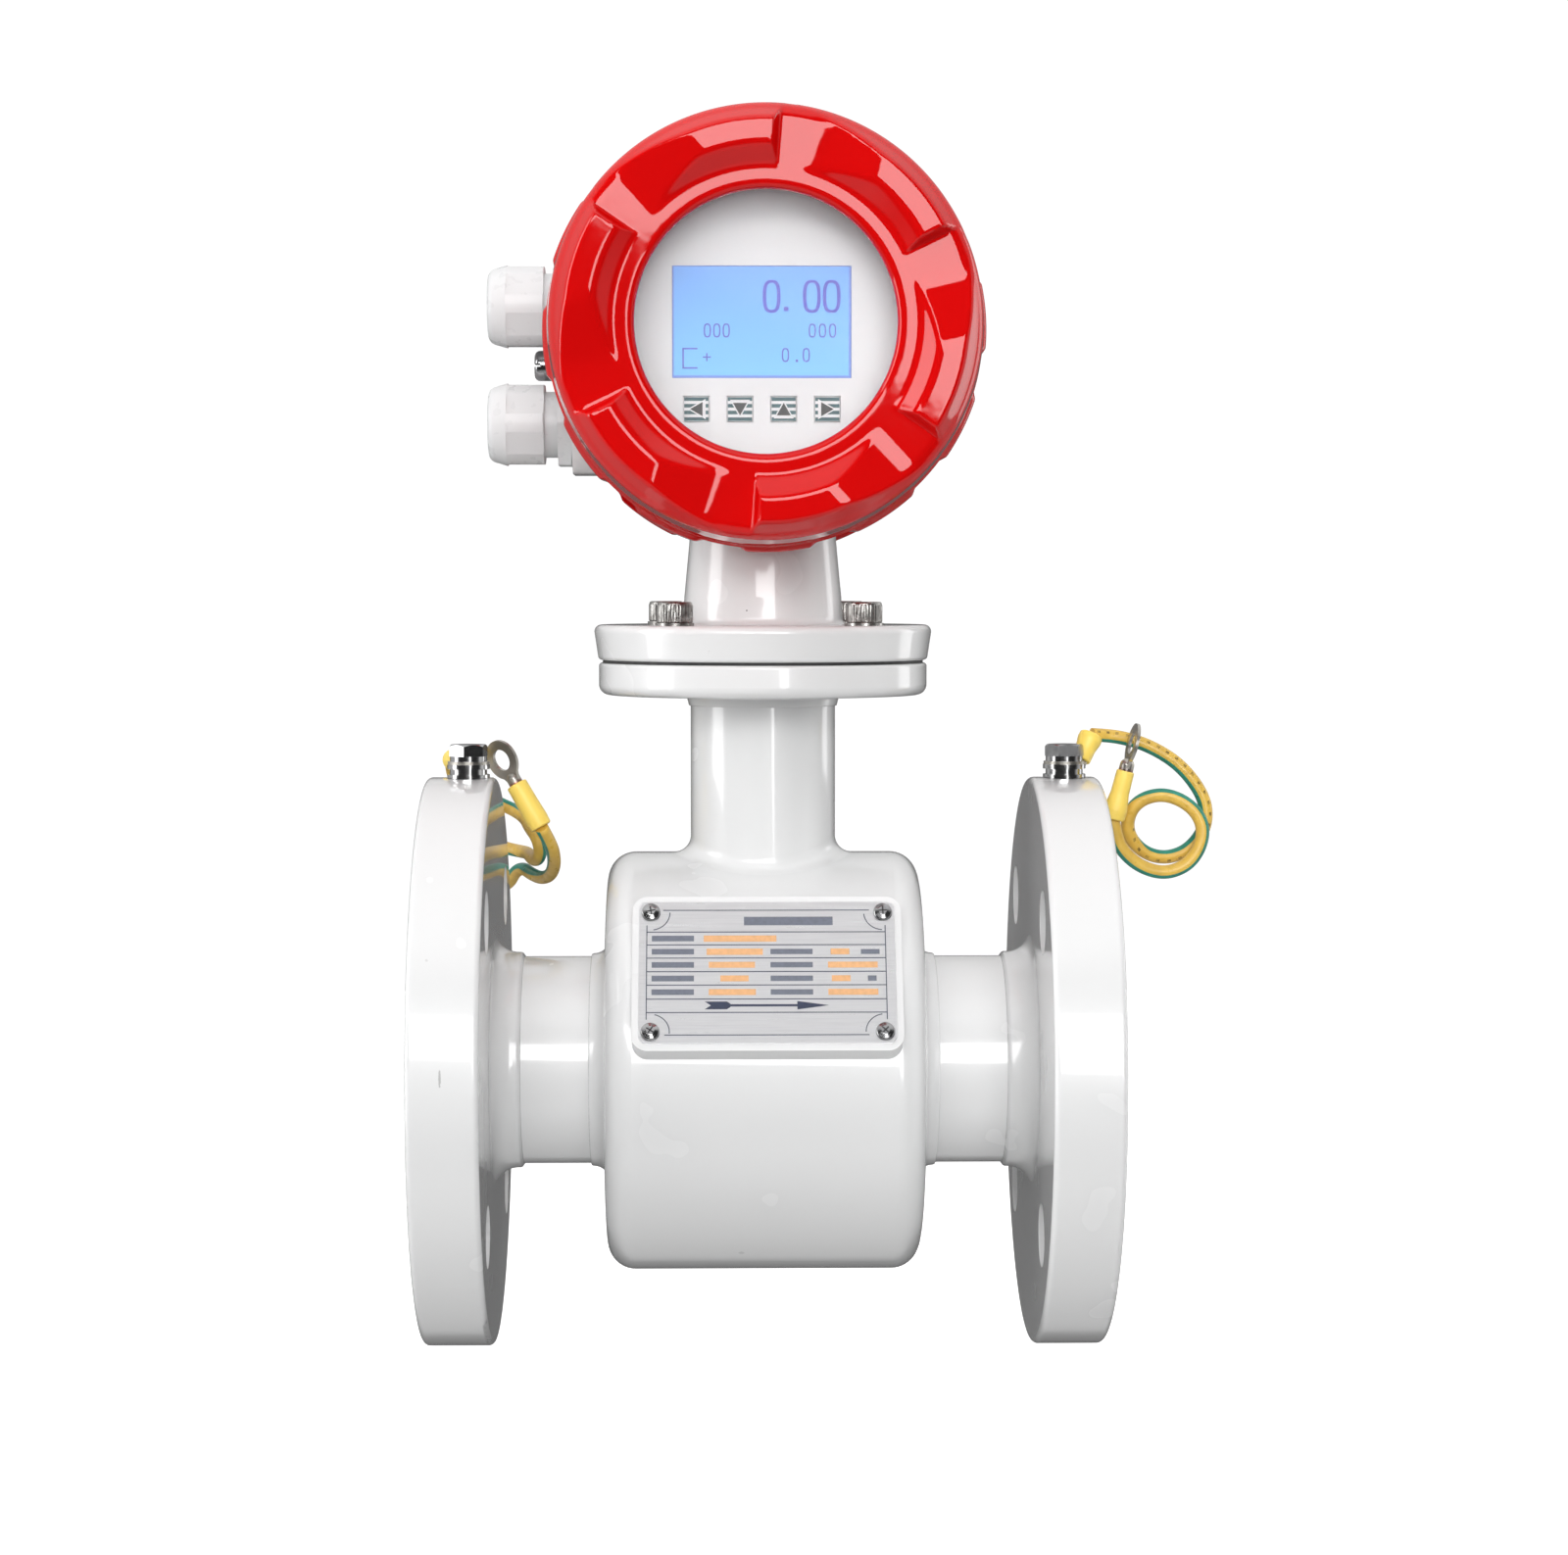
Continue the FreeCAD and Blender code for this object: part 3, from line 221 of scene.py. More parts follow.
# the welded pieces run into each other, so their corners stay as built; the machined and cast ones have eased corners
M["white"] = paint("paint_white", WHITE, WHITE2, 0.26, peel=0.05, spots=CHIPS, low=0.03, coat=1.0)
M["white_weld"] = paint("paint_white_welded", WHITE, WHITE2, 0.26, peel=0.05, edge=0, spots=CHIPS, low=0.03, coat=1.0)
M["red"] = paint("paint_red", c4(0.62, 0.0022, 0.0022), c4(0.58, 0.0018, 0.0020), 0.40, peel=0.06, edge=0, coat=1.0, low=0.25)
b = M["red"].node_tree.nodes["Principled BSDF"]
b.inputs["Specular IOR Level"].default_value = 0.0
b.inputs["Coat IOR"].default_value = 1.5
b.inputs["Coat Roughness"].default_value = 0.03

m, nt, b = new_mat("liner_plastic")
v = coords(nt)
n1 = noise(nt, coords(nt, (1, 30, 30)), 40.0, 3.0)
nt.links.new(mixc(nt, rng(nt, n1, 0.0, 1.0, 0.3, 0.7), c4(0.82, 0.815, 0.79), c4(0.76, 0.755, 0.73)), b.inputs["Base Color"])
b.inputs["Roughness"].default_value = 0.42
b.inputs["Subsurface Weight"].default_value = 0.05
bump(nt, b, n1, 0.15, 0.0002)
M["liner"] = m


def metal(name, base, dark, rough, scale=(1, 1, 1), freq=300.0, aniso=0.0, metallic=1.0, wear=0.5):
    m, nt, b = new_mat(name)
    v = coords(nt, scale)
    f = noise(nt, v, freq, 4.0, 0.6)
    g = noise(nt, coords(nt), 60.0, 3.0)
    col = mixc(nt, rng(nt, f, 0.0, 1.0, 0.3, 0.7), base, dark)
    col = mixc(nt, rng(nt, g, 0.0, wear, 0.5, 0.75), col, dark)
    nt.links.new(col, b.inputs["Base Color"])
    nt.links.new(rng(nt, f, rough * 0.75, rough * 1.35, 0.3, 0.7), b.inputs["Roughness"])
    b.inputs["Metallic"].default_value = metallic
    b.inputs["Anisotropic"].default_value = aniso
    bump(nt, b, f, 0.12, 0.0001)
    return m


M["steel"] = metal("bright_steel", c4(0.62, 0.62, 0.62), c4(0.34, 0.34, 0.35), 0.17, freq=120.0, wear=0.3)
M["tin"] = metal("tinned_lug", c4(0.60, 0.575, 0.53), c4(0.47, 0.45, 0.41), 0.34, freq=260.0, wear=0.4)
nt = M["tin"].node_tree
b = nt.nodes["Principled BSDF"]
col = b.inputs["Base Color"].links[0].from_socket
v = coords(nt)
# the crimp barrels are bare copper beside their sleeves
col = spot(nt, v, col, BARREL_IN, 2.9, c4(0.42, 0.11, 0.055), 0.15)
col = spot(nt, v, col, BARREL_OUT, 2.9, c4(0.30, 0.10, 0.075), 0.15)
nt.links.new(col, b.inputs["Base Color"])
M["screw"] = metal("screw_steel", c4(0.55, 0.54, 0.52), c4(0.20, 0.19, 0.18), 0.30, freq=500.0)
M["alu"] = metal("ring_metal", c4(0.60, 0.60, 0.60), c4(0.45, 0.45, 0.45), 0.35)
M["plate"] = metal("nameplate_steel", c4(0.93, 0.93, 0.945), c4(0.84, 0.84, 0.86), 0.34, scale=(1, 40, 40), freq=60.0, wear=0.15)
M["copper"] = metal("copper", c4(0.66, 0.33, 0.22), c4(0.36, 0.17, 0.12), 0.30)
M["brass"] = metal("post_brass", c4(0.72, 0.52, 0.22), c4(0.50, 0.34, 0.12), 0.28)
M["iron"] = metal("core_iron", c4(0.28, 0.28, 0.29), c4(0.16, 0.16, 0.16), 0.5)


def plastic(name, base, dark, rough, grain=600.0, gs=0.15, spec=0.5):
    m, nt, b = new_mat(name)
    v = coords(nt)
    f = noise(nt, v, grain, 2.0)
    g = noise(nt, v, 25.0, 3.0)
    nt.links.new(mixc(nt, rng(nt, g, 0.0, 1.0, 0.3, 0.7), base, dark), b.inputs["Base Color"])
    nt.links.new(rng(nt, f, rough * 0.85, rough * 1.2, 0.3, 0.7), b.inputs["Roughness"])
    b.inputs["Specular IOR Level"].default_value = spec
    bump(nt, b, f, gs, 0.0001)
    return m


M["rubber"] = plastic("black_rubber", c4(0.018, 0.018, 0.018), c4(0.03, 0.03, 0.03), 0.6)
M["gland"] = plastic("gland_plastic", c4(0.70, 0.705, 0.71), c4(0.66, 0.665, 0.67), 0.30, grain=300.0, gs=0.10)
M["panel"] = plastic("panel_white", c4(0.86, 0.86, 0.865), c4(0.83, 0.83, 0.84), 0.5, grain=200.0, gs=0.04)
b = M["panel"].node_tree.nodes["Principled BSDF"]
b.inputs["Emission Color"].default_value = (0.97, 0.98, 1, 1)
b.inputs["Emission Strength"].default_value = 0.03      # painted light: a faint glow that lifts the panel and key halos where the cover shades them
M["dark"] = plastic("dark_plastic", c4(0.03, 0.03, 0.033), c4(0.05, 0.05, 0.05), 0.45)
M["board"] = plastic("circuit_board", c4(0.01, 0.16, 0.06), c4(0.01, 0.10, 0.04), 0.35)
M["sleeve"] = plastic("sleeve_yellow", c4(0.97, 0.73, 0.15), c4(0.93, 0.66, 0.12), 0.38, grain=150.0, gs=0.10)

m, nt, b = new_mat("window_clear")
b.inputs["Base Color"].default_value = (1, 1, 1, 1)
b.inputs["Roughness"].default_value = 0.02
b.inputs["IOR"].default_value = 1.45
b.inputs["Alpha"].default_value = 0.05
b.inputs["Specular IOR Level"].default_value = 0.5
v = coords(nt)
nt.links.new(rng(nt, noise(nt, v, 25.0, 2.0), 0.01, 0.05), b.inputs["Roughness"])
M["glass"] = m
M["panel2"] = M["panel"]

# backlit screen: pale blue, bluer at the top, with a thin violet edge that thickens along the bottom
m, nt, b = new_mat("display_blue")
v = coords(nt)
sep = nt.nodes.new("ShaderNodeSeparateXYZ")
nt.links.new(v, sep.inputs[0])
zz = rng(nt, sep.outputs["Z"], 0.0, 1.0, 0.1955, 0.2261)
col = ramp(nt, zz, [(0.0, c4(0.160, 0.470, 0.86)), (0.45, c4(0.150, 0.415, 0.84)), (1.0, c4(0.142, 0.345, 0.79))])
xx = rng(nt, sep.outputs["X"], 0.0, 1.0, -0.0255, 0.0237)
ed = ramp(nt, xx, [(0.0, c4(1, 1, 1)), (0.005, c4(1, 1, 1)), (0.010, c4(0, 0, 0)), (0.984, c4(0, 0, 0)), (0.989, c4(1, 1, 1)), (1.0, c4(1, 1, 1))])
ez_ = ramp(nt, zz, [(0.0, c4(1, 1, 1)), (0.014, c4(1, 1, 1)), (0.024, c4(0, 0, 0)), (0.990, c4(0, 0, 0)), (0.995, c4(0.8, 0.8, 0.8)), (1.0, c4(1, 1, 1))])
mx = mixc(nt, 1.0, ed, ez_, "LIGHTEN")
px_ = nt.nodes.new("ShaderNodeTexChecker")
px_.inputs["Scale"].default_value = 3400.0
px_.inputs["Color1"].default_value = (1, 1, 1, 1)
px_.inputs["Color2"].default_value = (0.975, 0.98, 1, 1)
nt.links.new(v, px_.inputs["Vector"])
col = mixc(nt, 1.0, col, px_.outputs[0], "MULTIPLY")
col = mixc(nt, mx, col, c4(0.13, 0.22, 0.62))
nt.links.new(col, b.inputs["Base Color"])
nt.links.new(col, b.inputs["Emission Color"])
b.inputs["Emission Strength"].default_value = 0.36
b.inputs["Roughness"].default_value = 0.45
M["lcd"] = m


def flat_print(name, base, rough=0.5, metallic=0.0, emit=0.0):
    """Ink or moulded colour with a fine mottle."""
    m, nt, b = new_mat(name)
    v = coords(nt)
    f = noise(nt, v, 900.0, 2.0)
    lo_ = tuple(c * 0.86 for c in base[:3]) + (1.0,)
    col = mixc(nt, rng(nt, f, 0.0, 1.0, 0.35, 0.7), base, lo_)
    nt.links.new(col, b.inputs["Base Color"])
    nt.links.new(rng(nt, f, rough * 0.9, rough * 1.1, 0.3, 0.7), b.inputs["Roughness"])
    b.inputs["Metallic"].default_value = metallic
    if emit:
        nt.links.new(col, b.inputs["Emission Color"])
        b.inputs["Emission Strength"].default_value = emit
    return m


M["digit"] = flat_print("display_digit", c4(0.09, 0.10, 0.56), 0.5, emit=0.30)
M["digit2"] = flat_print("display_digit_small", c4(0.10, 0.14, 0.60), 0.5, emit=0.30)
M["teal"] = flat_print("key_teal", c4(0.018, 0.105, 0.120), 0.5)
M["tri"] = flat_print("key_arrow", c4(0.022, 0.022, 0.024), 0.5)
M["ink"] = flat_print("plate_ink", c4(0.035, 0.045, 0.085), 0.45)
M["ink2"] = flat_print("plate_ink_grey", c4(0.16, 0.175, 0.22), 0.45)
M["orange"] = flat_print("plate_orange", c4(0.78, 0.43, 0.20), 0.45)


def assign(obj, mat):
    if not obj.data.materials:
        obj.data.materials.append(mat)
    for i in range(len(obj.data.materials)):
        obj.data.materials[i] = mat


MAT_OF = {
    "white": "stem_flange inlet_flange outlet_flange converter_housing",
    "white_weld": "coil_housing measuring_tube stem_tube nameplate_seat",
    "red": "front_cover rear_cover",
    "liner": "flow_liner inlet_liner_face outlet_liner_face electrode_insulators",
    "steel": "ground_bolts ground_washers housing_ground_screw nameplate_screws terminal_screws electrodes",
    "screw": "flange_screws flange_screw_washers",
    "rubber": "flange_gasket cover_orings rear_cover_seal window_gasket gland_upper_seal gland_lower_seal signal_leads",
    "gland": "gland_bodies gland_upper_nut gland_lower_nut",
    "glass": "window_glass",
    "alu": "window_ring",
    "panel": "display_panel",
    "dark": "lcd_frame board_parts terminal_block",
    "panel2": "key_left key_down key_up key_right",
    "lcd": "lcd_glass",
    "board": "display_board main_board power_board",
    "brass": "board_posts",
    "plate": "nameplate",
    "copper": "excitation_coils",
    "tin": "inlet_fixed_lug outlet_fixed_lug inlet_free_lug outlet_free_lug",
    "iron": "pole_cores magnetic_yoke",
    "sleeve": "fixed_sleeves inlet_free_sleeve outlet_free_sleeve",
}
for k, names in MAT_OF.items():
    for n in names.split():
        assign(N[n], M[k])


# ------------------------------------------------------------------ mesh helpers
def make(name, verts, faces, mat, body, smooth=True, angle=None):
    me = bpy.data.meshes.new(name)
    me.from_pydata([(x * MM, y * MM, z * MM) for x, y, z in verts], [], faces)
    me.validate()
    o = bpy.data.objects.new(name, me)
    bpy.context.scene.collection.objects.link(o)
    for p in me.polygons:
        p.use_smooth = smooth
    if angle:
        me.set_sharp_from_angle(angle=math.radians(angle))
    if mat is not None:
        me.materials.append(mat)
    if body:
        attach(o, body)
    return o


def grid_faces(nu, nv, wrap_u=True, off=0):
    """nu columns round, nv rows; vertex index = off + row * nu + col."""
    f = []
    for j in range(nv - 1):
        for i in range(nu if wrap_u else nu - 1):
            a = off + j * nu + i
            b2 = off + j * nu + (i + 1) % nu
            f.append((a, b2, b2 + nu, a + nu))
    return f


# ------------------------------------------------------------------ the two earthing wires, on the route of their solids
OUT_WIRE = [(96.72, 7.54, 94.52), (101.6, 9.4, 94.2), (106.2, 9.0, 93.5), (111.4, 8.5, 92.1), (117.1, 8.0, 89.4), (122.2, 7.5, 85.9), (126.5, 7.0, 81.2),
            (129.6, 6.8, 76.1), (130.6, 6.6, 71.4), (129.8, 6.3, 66.6), (126.6, 5.8, 62.2), (122.9, 5.3, 59.6), (117.9, 4.8, 58.4),
            (112.5, 4.3, 59.7), (108.3, 3.8, 63.4), (106.6, 3.3, 68.0), (107.9, 2.8, 73.0), (111.5, 2.3, 76.2), (117.0, 1.7, 77.4),
            (122.5, 1.1, 75.7), (126.9, 0.5, 72.1), (128.9, 0.1, 67.2), (127.7, -0.2, 61.5), (124.0, -0.4, 56.5), (117.3, -0.6, 54.1),
            (110.0, -1.0, 56.3), (104.5, -1.5, 61.2), (102.5, -1.9, 66.7), (102.06, -1.97, 70.24)]
IN_WIRE = [(-91.67, 19.46, 86.8), (-92.5, 26.4, 84.9), (-92.7, 34.2, 81.9), (-91.5, 44.5, 77.1), (-87.0, 50.5, 74.5), (-80.6, 54.6, 71.9), (-74.9, 54.6, 69.3),
           (-71.6, 47.4, 67.4), (-70.4, 39.5, 66.3), (-69.2, 32.2, 65.3), (-67.1, 28.4, 62.9), (-66.1, 28.4, 59.0), (-67.0, 31.9, 56.2),
           (-68.9, 39.0, 55.5), (-70.4, 50.0, 55.7), (-71.7, 61.6, 55.8), (-73.9, 70.3, 55.6), (-78.5, 74.0, 56.2), (-83.5, 77.5, 57.6),
           (-88.5, 82.5, 56.0), (-90.8, 87.5, 51.5), (-88.6, 89.6, 46.0), (-83.6, 87.0, 43.0), (-78.8, 80.8, 44.6), (-76.4, 75.0, 49.2),
           (-73.6, 70.6, 50.4), (-71.4, 61.5, 49.9), (-69.5, 52.0, 49.8), (-66.7, 43.0, 49.6), (-63.7, 32.5, 51.1), (-62.0, 23.0, 54.3),
           (-61.5, 15.0, 58.0), (-62.0, 8.5, 62.2), (-64.7, 3.62, 67.77)]


# yellow insulation with a green stripe along it and a row of small dark marks: u runs along the wire in mm, v once round it
mw, nt, b = new_mat("wire_yellow_green")
uv = nt.nodes.new("ShaderNodeUVMap")
uv.uv_map = "UVMap"
sep = nt.nodes.new("ShaderNodeSeparateXYZ")
nt.links.new(uv.outputs[0], sep.inputs[0])
v = coords(nt)
YEL, YEL2, GRN = c4(0.76, 0.50, 0.085), c4(0.62, 0.39, 0.07), c4(0.012, 0.20, 0.135)
ycol = mixc(nt, rng(nt, noise(nt, v, 220.0, 3.0), 0.0, 1.0, 0.3, 0.75), YEL, YEL2)
gcol = mixc(nt, rng(nt, noise(nt, v, 300.0, 3.0), 0.0, 1.0, 0.3, 0.7), GRN, c4(0.02, 0.27, 0.20))
band = ramp(nt, sep.outputs["Y"], [(0.0, c4(0, 0, 0)), (0.350, c4(0, 0, 0)), (0.362, c4(1, 1, 1)), (0.638, c4(1, 1, 1)), (0.650, c4(0, 0, 0)), (1.0, c4(0, 0, 0))])
col = mixc(nt, band, ycol, gcol)
fr = nt.nodes.new("ShaderNodeMath")
fr.operation = "FRACT"
dv = nt.nodes.new("ShaderNodeMath")
dv.operation = "MULTIPLY"
dv.inputs[1].default_value = 1.0 / 3.1
nt.links.new(sep.outputs["X"], dv.inputs[0])
nt.links.new(dv.outputs[0], fr.inputs[0])
dash = ramp(nt, fr.outputs[0], [(0.0, c4(0, 0, 0)), (0.30, c4(0, 0, 0)), (0.34, c4(1, 1, 1)), (0.62, c4(1, 1, 1)), (0.66, c4(0, 0, 0)), (1.0, c4(0, 0, 0))])
rowm = ramp(nt, sep.outputs["Y"], [(0.0, c4(0, 0, 0)), (0.145, c4(0, 0, 0)), (0.155, c4(1, 1, 1)), (0.215, c4(1, 1, 1)), (0.225, c4(0, 0, 0)), (1.0, c4(0, 0, 0))])
dm = mixc(nt, 1.0, dash, rowm, "MULTIPLY")
wear = rng(nt, noise(nt, v, 900.0, 1.0), 0.35, 0.85, 0.35, 0.6)
dmw = mixc(nt, 1.0, dm, wear, "MULTIPLY")
col = mixc(nt, dmw, col, c4(0.10, 0.065, 0.02))
nt.links.new(col, b.inputs["Base Color"])
nt.links.new(rng(nt, noise(nt, v, 400.0, 2.0), 0.26, 0.40, 0.3, 0.7), b.inputs["Roughness"])
bump(nt, b, noise(nt, v, 250.0, 3.0), 0.15, 0.0002)


def route_points(name, pts):
    """The wire's centre line, read from the NURBS spline through its control points."""
    cu = bpy.data.curves.new(name, "CURVE")
    cu.dimensions = "3D"
    sp = cu.splines.new("NURBS")
    sp.points.add(len(pts) - 1)
    for p, q in zip(sp.points, pts):
        p.co = (q[0] * MM, q[1] * MM, q[2] * MM, 1.0)
    sp.order_u = 3
    sp.use_endpoint_u = True
    sp.resolution_u = 8
    o = bpy.data.objects.new(name, cu)
    bpy.context.scene.collection.objects.link(o)
    bpy.context.view_layer.update()
    me = bpy.data.meshes.new_from_object(o)
    out = [v_.co.copy() for v_ in me.vertices]
    bpy.data.meshes.remove(me)
    bpy.data.objects.remove(o)
    res = [out[0]]
    for p in out[1:-1]:
        if (p - res[-1]).length > 2e-4 and (p - out[-1]).length > 2e-4:
            res.append(p)
    return res + [out[-1]]


def wire_tube(name, node, pts, r, green, sides=24):
    """Tube along the route. green(s) gives the stripe's middle, in degrees from the display side, at share s of the length."""
    P = route_points(name + "_route", pts)
    L = [0.0]
    for a, c in zip(P, P[1:]):
        L.append(L[-1] + (c - a).length)
    verts, faces, uvs = [], [], []
    prev = None
    for i, p in enumerate(P):
        t = (P[min(i + 1, len(P) - 1)] - P[max(i - 1, 0)]).normalized()
        ref = Vector((0, -1, 0))
        bb = ref - t * ref.dot(t)
        if bb.length < 0.25:
            # near a stretch that points at the display side the last frame is carried on
            bb = prev - t * prev.dot(t) if prev is not None else Vector((0, 0, 1)) - t * t.z
        bb.normalize()
        if prev is not None:
            carried = prev - t * prev.dot(t)
            carried.normalize()
            w = min(1.0, max(0.0, (1.0 - abs(t.y)) * 1.6))
            bb = (bb * w + carried * (1.0 - w)).normalized() if bb.dot(carried) > -0.2 else carried
        prev = bb
        rr = t.cross(bb)
        g = math.radians(green(L[i] / L[-1]))
        for k in range(sides):
            # v = 0.5 is the middle of the green stripe
            a = g + (k / sides - 0.5) * 2 * math.pi
            q = p + (bb * math.cos(a) + rr * math.sin(a)) * r * MM
            verts.append(tuple(q))
    n = len(P)
    for i in range(n - 1):
        for k in range(sides):
            a, c = i * sides + k, i * sides + (k + 1) % sides
            faces.append((a, c, c + sides, a + sides))
            uvs.append(((L[i] * 1000, k / sides), (L[i] * 1000, (k + 1) / sides), (L[i + 1] * 1000, (k + 1) / sides), (L[i + 1] * 1000, k / sides)))
    faces.append(tuple(reversed(range(sides))))
    uvs.append(tuple((0.0, 0.0) for _ in range(sides)))
    faces.append(tuple((n - 1) * sides + k for k in range(sides)))
    uvs.append(tuple((0.0, 0.0) for _ in range(sides)))
    me = bpy.data.meshes.new(name)
    me.from_pydata(verts, [], faces)
    lay = me.uv_layers.new(name="UVMap")
    for f, u in zip(me.polygons, uvs):
        f.use_smooth = len(f.vertices) == 4
        for li, c in zip(f.loop_indices, u):
            lay.data[li].uv = c
    me.materials.append(mw)
    bm = bmesh.new()
    bm.from_mesh(me)
    bmesh.ops.recalc_face_normals(bm, faces=bm.faces)
    bm.to_mesh(me)
    bm.free()
    o = bpy.data.objects.new(name, me)
    bpy.context.scene.collection.objects.link(o)
    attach(o, "meter")
    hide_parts(node)
    return o, P


def smooth(x, a, b2):
    t = min(1.0, max(0.0, (x - a) / (b2 - a)))
    return t * t * (3 - 2 * t)


out_w, out_p = wire_tube("outlet_wire", "outlet_ground_wire", OUT_WIRE, 2.0, lambda q: 80.0 + 200.0 * smooth(q, 0.44, 0.60))
in_w, in_p = wire_tube("inlet_wire", "inlet_ground_wire", IN_WIRE, 2.0, lambda q: -80.0)


# ------------------------------------------------------------------ the two lobed screw covers
def smin(a, b2, k):
    h = max(k - abs(a - b2), 0.0) / k
    return min(a, b2) - h * h * k * 0.25


def smax(a, b2, k):
    return -smin(-a, -b2, k)


PAD_MID = [109.5 - 60.0 * k for k in range(6)]
PAD_H, PAD_HALF = 4.2, 23.5
RAMP = PAD_H / (49.0 * math.radians(20.0))


def pad_height(r, deg):
    """Height of the raised pads over the cover's face at radius r and angle deg, below zero away from them."""
    best = -6.0
    for mid in PAD_MID:
        d = (deg - mid + 180.0) % 360.0 - 180.0
        if abs(d) > PAD_HALF + 9.0:
            continue
        ramp_ = RAMP * r * math.sin(math.radians(PAD_HALF - d))
        steep = 2.4 * r * math.sin(math.radians(d + PAD_HALF))
        inner = (r - 42.0) / 5.2 * PAD_H
        outer = PAD_H - (r - 54.2) * (7.7 / 4.7)
        h = smin(PAD_H, ramp_, 0.5)
        h = smin(h, inner, 1.0)
        h = smin(h, outer, 1.3)
        h = smin(h, steep, 1.2)
        best = max(best, h)
    return best


def hollow(deg):
    """Depth, 0 to 1, of the twelve grip hollows round the rim."""
    d = (deg - 12.0) % 30.0
    return smooth(d, -0.5, 2.2) * (1.0 - smooth(d, 11.0, 13.6)) if d < 20 else 0.0


def cover_mesh(name, floor, window, front, nu=640):
    rows = []                                     # each row: function of the angle giving (radius, height)
    if window:
        inner = [(53.08, 24.6), (53.08, 45.4), (51.4, 45.5), (51.4, floor - 13.6), (50.9, floor - 13.0), (41.3, floor - 13.0),
                 (41.2, floor - 12.8), (41.2, floor - 4.1), (41.1, floor - 4.0), (35.75, floor - 4.0), (35.6, floor - 3.85),
                 (35.6, floor - 1.75), (35.72, floor - 1.25), (36.1, floor - 0.72), (36.7, floor - 0.25), (37.3, floor - 0.03), (37.9, floor)]
    else:
        inner = [(53.08, 24.6), (53.08, 41.2), (51.4, 41.3), (50.6, floor - 6.5), (48.5, floor - 5.0), (30.0, floor - 5.0), (0.02, floor - 5.0),
                 (0.02, floor - 1.6), (20.0, floor - 1.6), (33.2, floor - 1.6), (33.9, floor - 1.5), (34.5, floor - 1.05), (35.0, floor - 0.5), (35.6, floor - 0.1), (36.2, floor), (37.9, floor)]
    for r, x in inner:
        rows.append(lambda a, r=r, x=x: (r, x))
    face = [38.6 + 0.42 * i for i in range(38)]    # 38.6 to 54.14
    for r in face:
        rows.append(lambda a, r=r: (r, floor + smax(0.0, pad_height(r, a), 0.8)))
    for i in range(1, 21):
        ph = math.radians(i * 4.1)
        r = 54.4 + 4.6 * math.sin(ph)
        xb = floor - 4.6 + 4.6 * math.cos(ph)
        rows.append(lambda a, r=r, xb=xb: (r, smax(xb, floor + pad_height(r, a), 0.8)))
    side = [(59.02, floor - 5.4), (59.2, floor - 8.0)] + ([(59.7, floor - 12.0), (60.0, 48.5)] if floor > 60 else []) + [
        (60.25, 41.2), (60.32, 40.2), (60.5, 39.75), (60.9, 39.3), (61.4, 38.75), (61.75, 38.2)]
    for r, x in side:
        rows.append(lambda a, r=r, x=x: (r - (0.95 * hollow(a) if r > 60.9 else 0.0), x))
    for r, x in [(61.93, 37.6), (62.0, 36.8), (62.0, 35.6), (62.0, 33.0), (62.0, 29.0), (62.0, 25.1), (61.75, 24.45), (61.2, 24.15), (60.2, 24.1)]:
        rows.append(lambda a, r=r, x=x: (r - 1.1 * hollow(a) * (1.0 if r > 60.5 else 0.3), x))
    rows.append(lambda a: (57.0, 24.1))
    rows.append(lambda a: (53.35, 24.15))
    nv = len(rows)
    verts, faces = [], []
    sy = -1.0 if front else 1.0
    for fn in rows:
        for i in range(nu):
            a = 360.0 * i / nu
            r, x = fn(a)
            ca, sa = math.cos(math.radians(a)), math.sin(math.radians(a))
            verts.append(((r * ca) * (1.0 if front else -1.0), sy * x, HZ + r * sa))
    for j in range(nv):
        j2 = (j + 1) % nv
        for i in range(nu):
            i2 = (i + 1) % nu
            faces.append((j * nu + i, j * nu + i2, j2 * nu + i2, j2 * nu + i))
    o = make(name, verts, faces, M["red"], None, True, 38)
    bm = bmesh.new()
    bm.from_mesh(o.data)
    bmesh.ops.remove_doubles(bm, verts=bm.verts, dist=0.00006)
    bmesh.ops.recalc_face_normals(bm, faces=bm.faces)
    bm.to_mesh(o.data)
    bm.free()
    o.data.set_sharp_from_angle(angle=math.radians(38))
    return o


fc = cover_mesh("front_cover_shell", 70.0, True, True)
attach(fc, "front_cover")
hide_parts("front_cover")
rc = cover_mesh("rear_cover_shell", 56.0, False, False, nu=480)
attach(rc, "rear_cover")
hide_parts("rear_cover")


# ------------------------------------------------------------------ thin raised print
def prisms(name, polys, mat, body, origin, ex, ey, ez, h0, h1, slot=None):
    """Flat polygons (in mm) in the plane (ex, ey) at origin, standing from h0 to h1 along ez, as one piece."""
    O, X, Y, Z = Vector(origin), Vector(ex), Vector(ey), Vector(ez)
    verts, faces = [], []
    for p in polys:
        n = len(p)
        k = len(verts)
        for h in (h0, h1):
            for (u, w_) in p:
                q = O + X * u + Y * w_ + Z * h
                verts.append((q.x, q.y, q.z))
        faces.append(tuple(k + i for i in range(n)))
        faces.append(tuple(k + n + i for i in reversed(range(n))))
        for i in range(n):
            j = (i + 1) % n
            faces.append((k + i, k + n + i, k + n + j, k + j))
    o = make(name, verts, faces, mat, None, False)
    bm = bmesh.new()
    bm.from_mesh(o.data)
    bmesh.ops.recalc_face_normals(bm, faces=bm.faces)
    bm.to_mesh(o.data)
    bm.free()
    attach(o, body)
    return o


def rect(x0, x1, y0, y1):
    return [(x0, y0), (x1, y0), (x1, y1), (x0, y1)]


